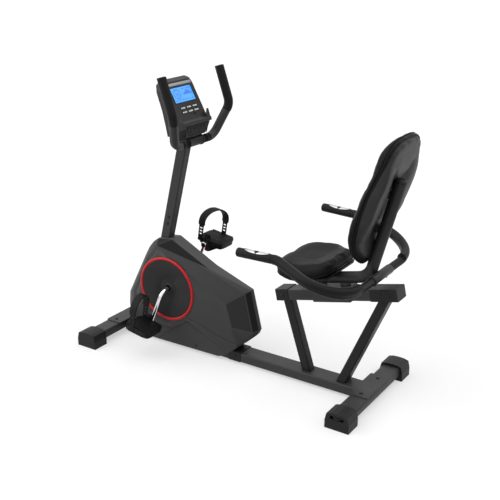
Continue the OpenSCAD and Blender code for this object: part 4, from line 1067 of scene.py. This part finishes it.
def pedal_turn(side):
    turn = Matrix.Rotation(PEDAL_TILT, 4, "Y")
    if side == "right":
        turn = Matrix.Diagonal((1, -1, 1, 1)) @ turn
    return Matrix.Translation(AXES[side]) @ turn


def rounded_path(points, radii, per=8):
    """A path with an arc of the given radius at each inner corner."""
    points = [Vector(p) for p in points]
    out = [points[0]]
    for before, at, after, radius in zip(points, points[1:], points[2:], radii):
        a, b = (before - at).normalized(), (after - at).normalized()
        half = a.angle(b) / 2
        reach = radius / math.tan(half)
        centre = at + (a + b).normalized() * radius / math.sin(half)
        start = (at + a * reach - centre).normalized()
        end = (at + b * reach - centre).normalized()
        for k in range(per + 1):
            out.append(centre + start.slerp(end, k / per) * radius)
    return out + [points[-1]]


def disc(name, centre, y0, y1, radius, edge, count=40):
    """A round boss along Y with chamfered rims."""
    rows = [(radius - edge, y0), (radius, y0 + edge), (radius, y1 - edge), (radius - edge, y1)]
    points = [(centre.x + u, y, centre.z + v) for r, y in rows for u, v in circle(r, count)]
    return mesh_piece(name, points, rows_to_faces(len(rows), count) + ends_of(len(rows), count))


def eye(side, near, far, radius, edge):
    """A boss round a pedal's spindle, between two distances from the middle plane."""
    low, high = sorted((SIGN[side] * near, SIGN[side] * far))
    return disc("eye", AXES[side], low, high, radius, edge)


def crank():
    tips = {}
    for side, sign in SIGN.items():
        tips[side] = AXES[side] + Vector((0, sign * (EYE_Y + EYE_T / 2), 0))
    hub = Vector((CRANK_AT.x, 0, CRANK_AT.y))
    out = Vector((0, CRANK_Y, 0))
    path = rounded_path([tips["right"], hub - out, hub + out, tips["left"]], [38, 38], 14)
    parts = [sweep("rod", path, circle(8, 32), up=Vector((0.3, 0.1, 0.95)))]
    parts += [eye(side, EYE_Y, EYE_Y + EYE_T, 13, 1.2) for side in SIGN]
    place(joined("crank_arms", parts), "crank", "chrome", "crank")
    caps = [eye(side, EYE_Y - 2.5, EYE_Y + 1, 11, 1) for side in SIGN]
    place(joined("crank_eye_caps", caps), "crank", "bolt_black")


def pedal(side):
    turn = pedal_turn(side)
    shift = turn @ Matrix.Translation(Vector((0, PEDAL_Y, 0)))
    plan = [p.xy for p in flowing([(x, y, 0) for x, y in PEDAL_PLAN], 5, closed=True)]
    heart = Vector((PEDAL_HEART, PEDAL_MID))
    parts = [
        slab("plate", plan, 10, 21, shift, 2.6, 1.5, 40),
        slab("body", [heart.lerp(p, 0.965) for p in plan], -8, 11, shift, 5, angle=40),
        slab("tread", [heart.lerp(p, 0.9) for p in plan], 20.5, 22.2, shift, 0.8, 0.6, 40),
        slab("ear", box(-16, 16, 0, 4), 8, 46, shift),
    ]
    for x in range(-68, 38, 7):
        tooth = [(x, 101), (x + 4, 101), (x + 3.4, 108), (x + 0.6, 108)]
        parts.append(slab("tooth", tooth, 18, 25.5, shift, 0.9))
    for x in range(-68, 45, 11):
        parts.append(slab("rib", box(x - 2, x + 2, 14, 95), 22, 23.6, shift, 0.6))
    wedge = [(-64, 0), (40, 0), (14, -32), (6, -38), (-6, -38), (-16, -34)]
    lean = turn @ Matrix.Translation(Vector((0, PEDAL_Y + 37, 0))) @ Matrix.Rotation(math.pi / 2, 4, "X")
    parts.append(slab("weight", wedge, -6, 34, lean, 3, angle=20))
    place(joined(f"pedal_body_{side}", parts), f"pedal_{side}", "pedal_plastic", f"pedal_{side}")


def strap(side):
    """A perforated band over the foot, skewed from its inner to its outer foot, with a pad on top."""
    turn = pedal_turn(side)
    middle = PEDAL_Y + PEDAL_MID
    inner_x, outer_x = STRAP_FEET[side]
    mean, lean = (inner_x + outer_x) / 2, (inner_x - outer_x) / 2

    def over(radius, a):
        """A point at angle a on an arc over the foot."""
        y, z = middle + radius * math.cos(a), STRAP_BEND + radius * math.sin(a)
        return Vector((mean - lean * math.cos(a), y, z))

    inner = [(middle - STRAP_R, z) for z in range(STRAP_FOOT, STRAP_BEND, 2)]
    outer = [(middle + STRAP_R, z) for z in range(STRAP_BEND - 2, STRAP_FOOT - 1, -2)]
    path = inner + [over(STRAP_R, math.pi * (1 - k / 36)).yz for k in range(37)] + outer
    points = []
    for y, z in path:
        width = 24 + 8 * smooth_step((z - 70) / 22)
        skew = mean + lean * (middle - y) / STRAP_R
        points += [(skew + width * (j / STRAP_CELLS - 0.5), y, z) for j in range(STRAP_CELLS + 1)]
    faces = []
    for i in range(len(path) - 1):
        z = (path[i][1] + path[i + 1][1]) / 2
        slotted = any(low < z < high for low, high in SLOT_HEIGHTS)
        for j in range(STRAP_CELLS):
            if not (slotted and SLOT_MARGIN <= j < STRAP_CELLS - SLOT_MARGIN):
                a = i * (STRAP_CELLS + 1) + j
                faces.append((a, a + 1, a + STRAP_CELLS + 2, a + STRAP_CELLS + 1))
    band = thicken(mesh_piece("band", points, faces, turn), STRAP_T, 0)
    soften(band, 0.6, 40, 2)
    pad_path = [over(STRAP_R + 0.6, math.pi * (1.07 - 1.14 * k / 40)) for k in range(41)]
    section = []
    for c, d in circle(1, 28):
        section.append((math.copysign(abs(c) ** 0.45, c) * 3.2, math.copysign(abs(d) ** 0.35, d) * 17))
    pad = sweep("pad", pad_path, section, frame_matrix=turn, up=Vector((1, 0, 0)))
    whole = joined(f"pedal_strap_{side}", [band, pad])
    place(whole, f"pedal_{side}", "strap_rubber", f"strap_{side}")


# ---------------------------------------------------------------- side grips

GRIP_END = Vector((-189.85, 323, 640))
GRIP_KNEE = Vector((-349.85, 312.5, 637.5))
GRIP_R = 17.5
# The foam from its front end: radius, and how far along
GRIP_PROFILE = [(0.5, -5), (11, -4.8), (14.8, -3.8), (17, -1.2), (GRIP_R, 2), (GRIP_R, 137), (17.1, 139.4),
                (16.2, 140.5)]
# The pulse plates' oval: its middle along the grip, half its length, and half the angle that it wraps
PLATE_MID, PLATE_HALF, PLATE_SPREAD = 76, 51, math.radians(44)
PLATE_R = GRIP_R + 0.5
PLATE_T = 1.2
PLATE_GAP = 1.6           # half the gap between the front and the rear plate


def grip_turn():
    back = (GRIP_KNEE - GRIP_END).normalized()
    up = (Vector((0, 0, 1)) - back * back.z).normalized()
    turn = Matrix((up, back.cross(up), back)).transposed().to_4x4()
    turn.translation = GRIP_END
    return turn


def on_tube(radius, along_grip, turned):
    return Vector((radius * math.cos(turned), radius * math.sin(turned), along_grip))


def oval_patch(half, turn):
    """Half of an oval that is wrapped on the grip: half is 1 or -1, for the rear or front half."""
    rim = []
    for k in range(33):
        a = math.pi * (k / 32 - 0.5)
        reach = PLATE_GAP + (PLATE_HALF - PLATE_GAP) * math.cos(a)
        rim.append((PLATE_MID + half * reach, PLATE_SPREAD * math.sin(a)))
    heart = PLATE_MID + half * 16
    shares = (1, 0.8, 0.6, 0.4, 0.2)
    points = [on_tube(PLATE_R, heart + (z - heart) * s, a * s) for s in shares for z, a in rim]
    last = (len(shares) - 1) * len(rim)
    faces = rows_to_faces(len(shares), len(rim)) + fan(last, len(rim), len(points))
    points.append(on_tube(PLATE_R, heart, 0))
    return soften(thicken(mesh_piece("oval", points, faces, turn), PLATE_T, 0), 0.25, 40, 2)


def grips():
    turn = grip_turn()
    count = 48
    points = [on_tube(r, z, math.tau * i / count) for r, z in GRIP_PROFILE for i in range(count)]
    faces = rows_to_faces(len(GRIP_PROFILE), count) + [tuple(range(count))]
    foam = mesh_piece("side_grip_foam_left", points, faces, turn)
    foam.data.set_sharp_from_angle(angle=math.radians(50))
    place_pair(foam, "seat", "grip_foam", "side_grips")
    border = []
    for u, v in circle(1, 72):
        border.append(on_tube(PLATE_R, PLATE_MID + (PLATE_HALF + 2) * u, (PLATE_SPREAD + 0.1) * v))
    rim = sweep("rim", border, circle(1.3, 8), closed=True, frame_matrix=turn, up=Vector((1, 0, 0)))
    across = [on_tube(PLATE_R, PLATE_MID, PLATE_SPREAD * (k / 10 - 1)) for k in range(21)]
    web = sweep("web", across, circle(1.3, 8), frame_matrix=turn)
    place_pair(joined("pulse_rim_left", [rim, web]), "seat", "key_plastic")
    ovals = joined("pulse_ovals_left", [oval_patch(-1, turn), oval_patch(1, turn)])
    place_pair(ovals, "seat", "chrome", "pulse_plates", finish="steel")


# ---------------------------------------------------------------- foam sleeves

FOAM_R, PAINT_R, SIDE_BAR_R = 18.8, 17.4, 18.2
SLEEVE_ENDS = [(0, 0.88), (1.0, 0.96), (2.6, 1.0)]      # distance from the end, and share of the radius
SIDE_BAR_START = 141.5    # from the side grip's front end, just past its foam
# The front handlebar's corners, and the side handlebar's behind the seat
FRONT_MID, FRONT_BEND = Vector((240.2, 50, 932)), Vector((240.2, 130, 932))
FRONT_KNEE, FRONT_TIP = Vector((197.2, 190, 1062)), Vector((248.2, 190, 1214))
SIDE_CORNER, SIDE_MID = Vector((-613, 365, 543.6)), Vector((-613, 95, 543.6))


def sleeve(name, path, radius):
    """A skin of foam or paint over a bar, with rounded ends."""
    lengths = [0]
    for a, b in zip(path, path[1:]):
        lengths.append(lengths[-1] + (b - a).length)

    def at(distance):
        for a, b, start, stop in zip(path, path[1:], lengths, lengths[1:]):
            if distance <= stop:
                return a.lerp(b, (distance - start) / (stop - start))
        return path[-1]

    total = lengths[-1]
    stops = SLEEVE_ENDS + [(4 + (total - 8) * k / 60, 1.0) for k in range(61)]
    stops += [(total - d, share) for d, share in reversed(SLEEVE_ENDS)]
    count = 32
    points = []
    for distance, share in stops:
        ahead = (at(distance + 0.5) - at(distance - 0.5)).normalized()
        side = ahead.cross(Vector((0, 1, 0))).normalized()
        rise = side.cross(ahead)
        points += [at(distance) + side * u + rise * v for u, v in circle(radius * share, count)]
    piece = mesh_piece(name, points, rows_to_faces(len(stops), count) + ends_of(len(stops), count))
    piece.data.set_sharp_from_angle(angle=math.radians(50))
    return piece


def sleeves():
    start = FRONT_BEND.lerp(FRONT_KNEE, 0.8)
    path = rounded_path([start, FRONT_KNEE, FRONT_TIP], [60], 12)
    place_pair(sleeve("front_foam_left", path, FOAM_R), "frame", "grip_foam")
    path = rounded_path([FRONT_MID, FRONT_BEND, start], [55], 12)
    place_pair(sleeve("front_bar_left", path, PAINT_R), "frame", "frame_paint")
    start = GRIP_END + (GRIP_KNEE - GRIP_END).normalized() * SIDE_BAR_START
    path = rounded_path([start, GRIP_KNEE, SIDE_CORNER, SIDE_MID], [70, 150], 14)
    place_pair(sleeve("side_bar_left", path, SIDE_BAR_R), "seat", "frame_paint", finish="frame_satin")


# ---------------------------------------------------------------- console

CONSOLE_TURN = Matrix.Translation((240.75, 0, 1024.4)) @ Matrix.Rotation(math.radians(29), 4, "Y")
# Marks on its face: X to the rider's right, Y up the face, Z out towards the rider
FACE_TURN = CONSOLE_TURN @ Matrix(((0, 0, -1, 0), (-1, 0, 0, 0), (0, 1, 0, 0), (0, 0, 0, 1)))
LIP_HALF = 91             # half the width of the lip that a tablet stands on
MARK_SPAN = (-0.8, -0.1)  # the screen marks' underside and top
LABEL_SPAN = (1.5, 2.1)
KEY_STEP = 38             # across, from key to key
KEY_ROWS = (52.6, 34.8)
JACK_AT = (20, 22)
RIB_STEP = 9.6


def bar(x0, x1, y0, y1, low, high, edge=0.15):
    return slab("bar", box(x0, x1, y0, y1), low, high, FACE_TURN, edge)


def dot(x, y, radius, low, high):
    ring = [(x + u, y + v) for u, v in circle(radius, 14)]
    return slab("dot", ring, low, high, FACE_TURN, 0.12, angle=60)


def console_tray():
    """The console's front with its tray as low as in the photo, and one raised end."""
    node = nodes["console_front"]
    mesh = node.data.copy()
    mesh.transform(CONSOLE_TURN.inverted() @ Matrix.Scale(1 / MM, 4) @ node.matrix_world)
    # The tray's wall comes back towards the face, and its top comes down
    for vertex in mesh.vertices:
        if vertex.co.x < -16.5:
            vertex.co.x += 5.4 if vertex.co.x < -19 else 6.9
            vertex.co.z = -12
    mesh.transform(Matrix.Scale(MM, 4) @ CONSOLE_TURN)
    front = link("console_front_panel", mesh)
    weld(front)
    soften(front, 1.2, 32, 2)
    place(settle(front), "frame", "casing_plastic", "console_front")
    wall = [(x + LIP_HALF, y) for x, y in ((-26, -20), (0, -20), (0, 24), (-10, 26), (-24, 4))]
    lean = FACE_TURN @ Matrix.Translation((0, 0, 13.5)) @ Matrix.Rotation(math.radians(10.8), 4, "X")
    end = joined("console_tray_end", [slab("wall", wall, -1.7, 1.7, lean, 1.2)])
    place(end, "frame", "casing_plastic")


def screen_marks():
    """A dial of dots, a row of bars that rises and falls, and short lines: nothing that reads as text."""
    lines = [(-44, -28, 111.5, 114.5), (-41, -31, 105, 107.5), (4, 20, 130, 133), (28, 58, 130, 133)]
    for k in range(8):
        top = 112 + 14 * math.sin((k + 0.5) * math.pi / 8) ** 2
        lines.append((4 + 7 * k, 9 + 7 * k, 106, top))
    lines += [(x, x + 12, 85, 88) for x in range(-56, 45, 20)]
    dial = [dot(x - 36, y + 113, 3.2, *MARK_SPAN) for x, y in circle(19, 12)]
    return dial + [bar(*line, *MARK_SPAN) for line in lines]


def lip_and_ribs():
    """The lip's two beads and its end gussets, and the ribs down the neck below it."""
    parts = []
    for x, z, radius in ((-13.4, -12, 2.8), (-10.2, -22, 3)):
        path = [(x, y, z) for y in (-LIP_HALF, 0, LIP_HALF)]
        parts.append(sweep("bead", path, circle(radius, 14), frame_matrix=CONSOLE_TURN))
    flank = [(-15, -11), (-13, -22), (-6, -22), (0.6, 2), (0.6, 14)]
    for y in (LIP_HALF - 2, 2 - LIP_HALF):
        turn = CONSOLE_TURN @ Matrix(((1, 0, 0, 0), (0, 0, 1, y), (0, 1, 0, 0), (0, 0, 0, 1)))
        parts.append(slab("gusset", flank, -1.3, 1.3, turn, 0.6))
    section = box(-1.8, 1.8, -1.7, 1.7)
    for k in range(-7, 8):
        path = [(x, k * RIB_STEP, z) for x, z in ((-8.2, -27), (4.6, -43.6), (23, -61))]
        parts.append(sweep("rib", path, section, frame_matrix=CONSOLE_TURN, up=Vector((0, 1, 0))))
    return parts


def console():
    console_tray()
    # A light grey band along the top of the face: a painted highlight on the hood's rounded top edge.
    strip = joined("console_highlight_strip", [bar(-78, 78, 148.5, 160, -1, 0.5)])
    place(strip, "frame", "casing_plastic", finish="print_grey")
    sides = ((-70, 70, 141, 144.5), (-70, 70, 73.5, 77), (-70, -66, 75, 143), (66, 70, 75, 143))
    rim = [bar(*side, -1, 1.1, 0.5) for side in sides]
    place(joined("screen_rim", rim), "frame", "key_plastic")
    place(joined("screen_marks", screen_marks()), "frame", "screen", finish="lcd_marks")
    for n in range(6):
        x, y = (n % 3 - 1) * KEY_STEP, KEY_ROWS[n // 3]
        label = [bar(x + x0, x + x1, y - 3, y + 3, *LABEL_SPAN) for x0, x1 in ((-13, -4), (-2, 13))]
        place(joined(f"key_label_{n + 1}", label), f"key_{n + 1}", "key_plastic", finish="label_print")
    ring = [(JACK_AT[0] + u, JACK_AT[1] + v, 0) for u, v in circle(4.8, 28)]
    jack = sweep("jack_ring", ring, circle(1.3, 8), closed=True, frame_matrix=FACE_TURN)
    place(jack, "frame", "bolt_black")
    # The jack's mouth is a near-black disc: painted shade for the hole.
    place(joined("jack_mouth", [dot(*JACK_AT, 4.4, 0, 0.5)]), "frame", "bolt_black", finish="deep_plastic")
    place(joined("console_lip_and_ribs", lip_and_ribs()), "frame", "casing_plastic")


make_camera()
make_lamps()
make_world()
make_floor()
dress_cad_nodes()
seat_cushion()
back_cushion()
casing()
crank()
for pedal_side in SIGN:
    pedal(pedal_side)
    strap(pedal_side)
grips()
sleeves()
console()

bpy.context.scene.view_settings.view_transform = "Standard"
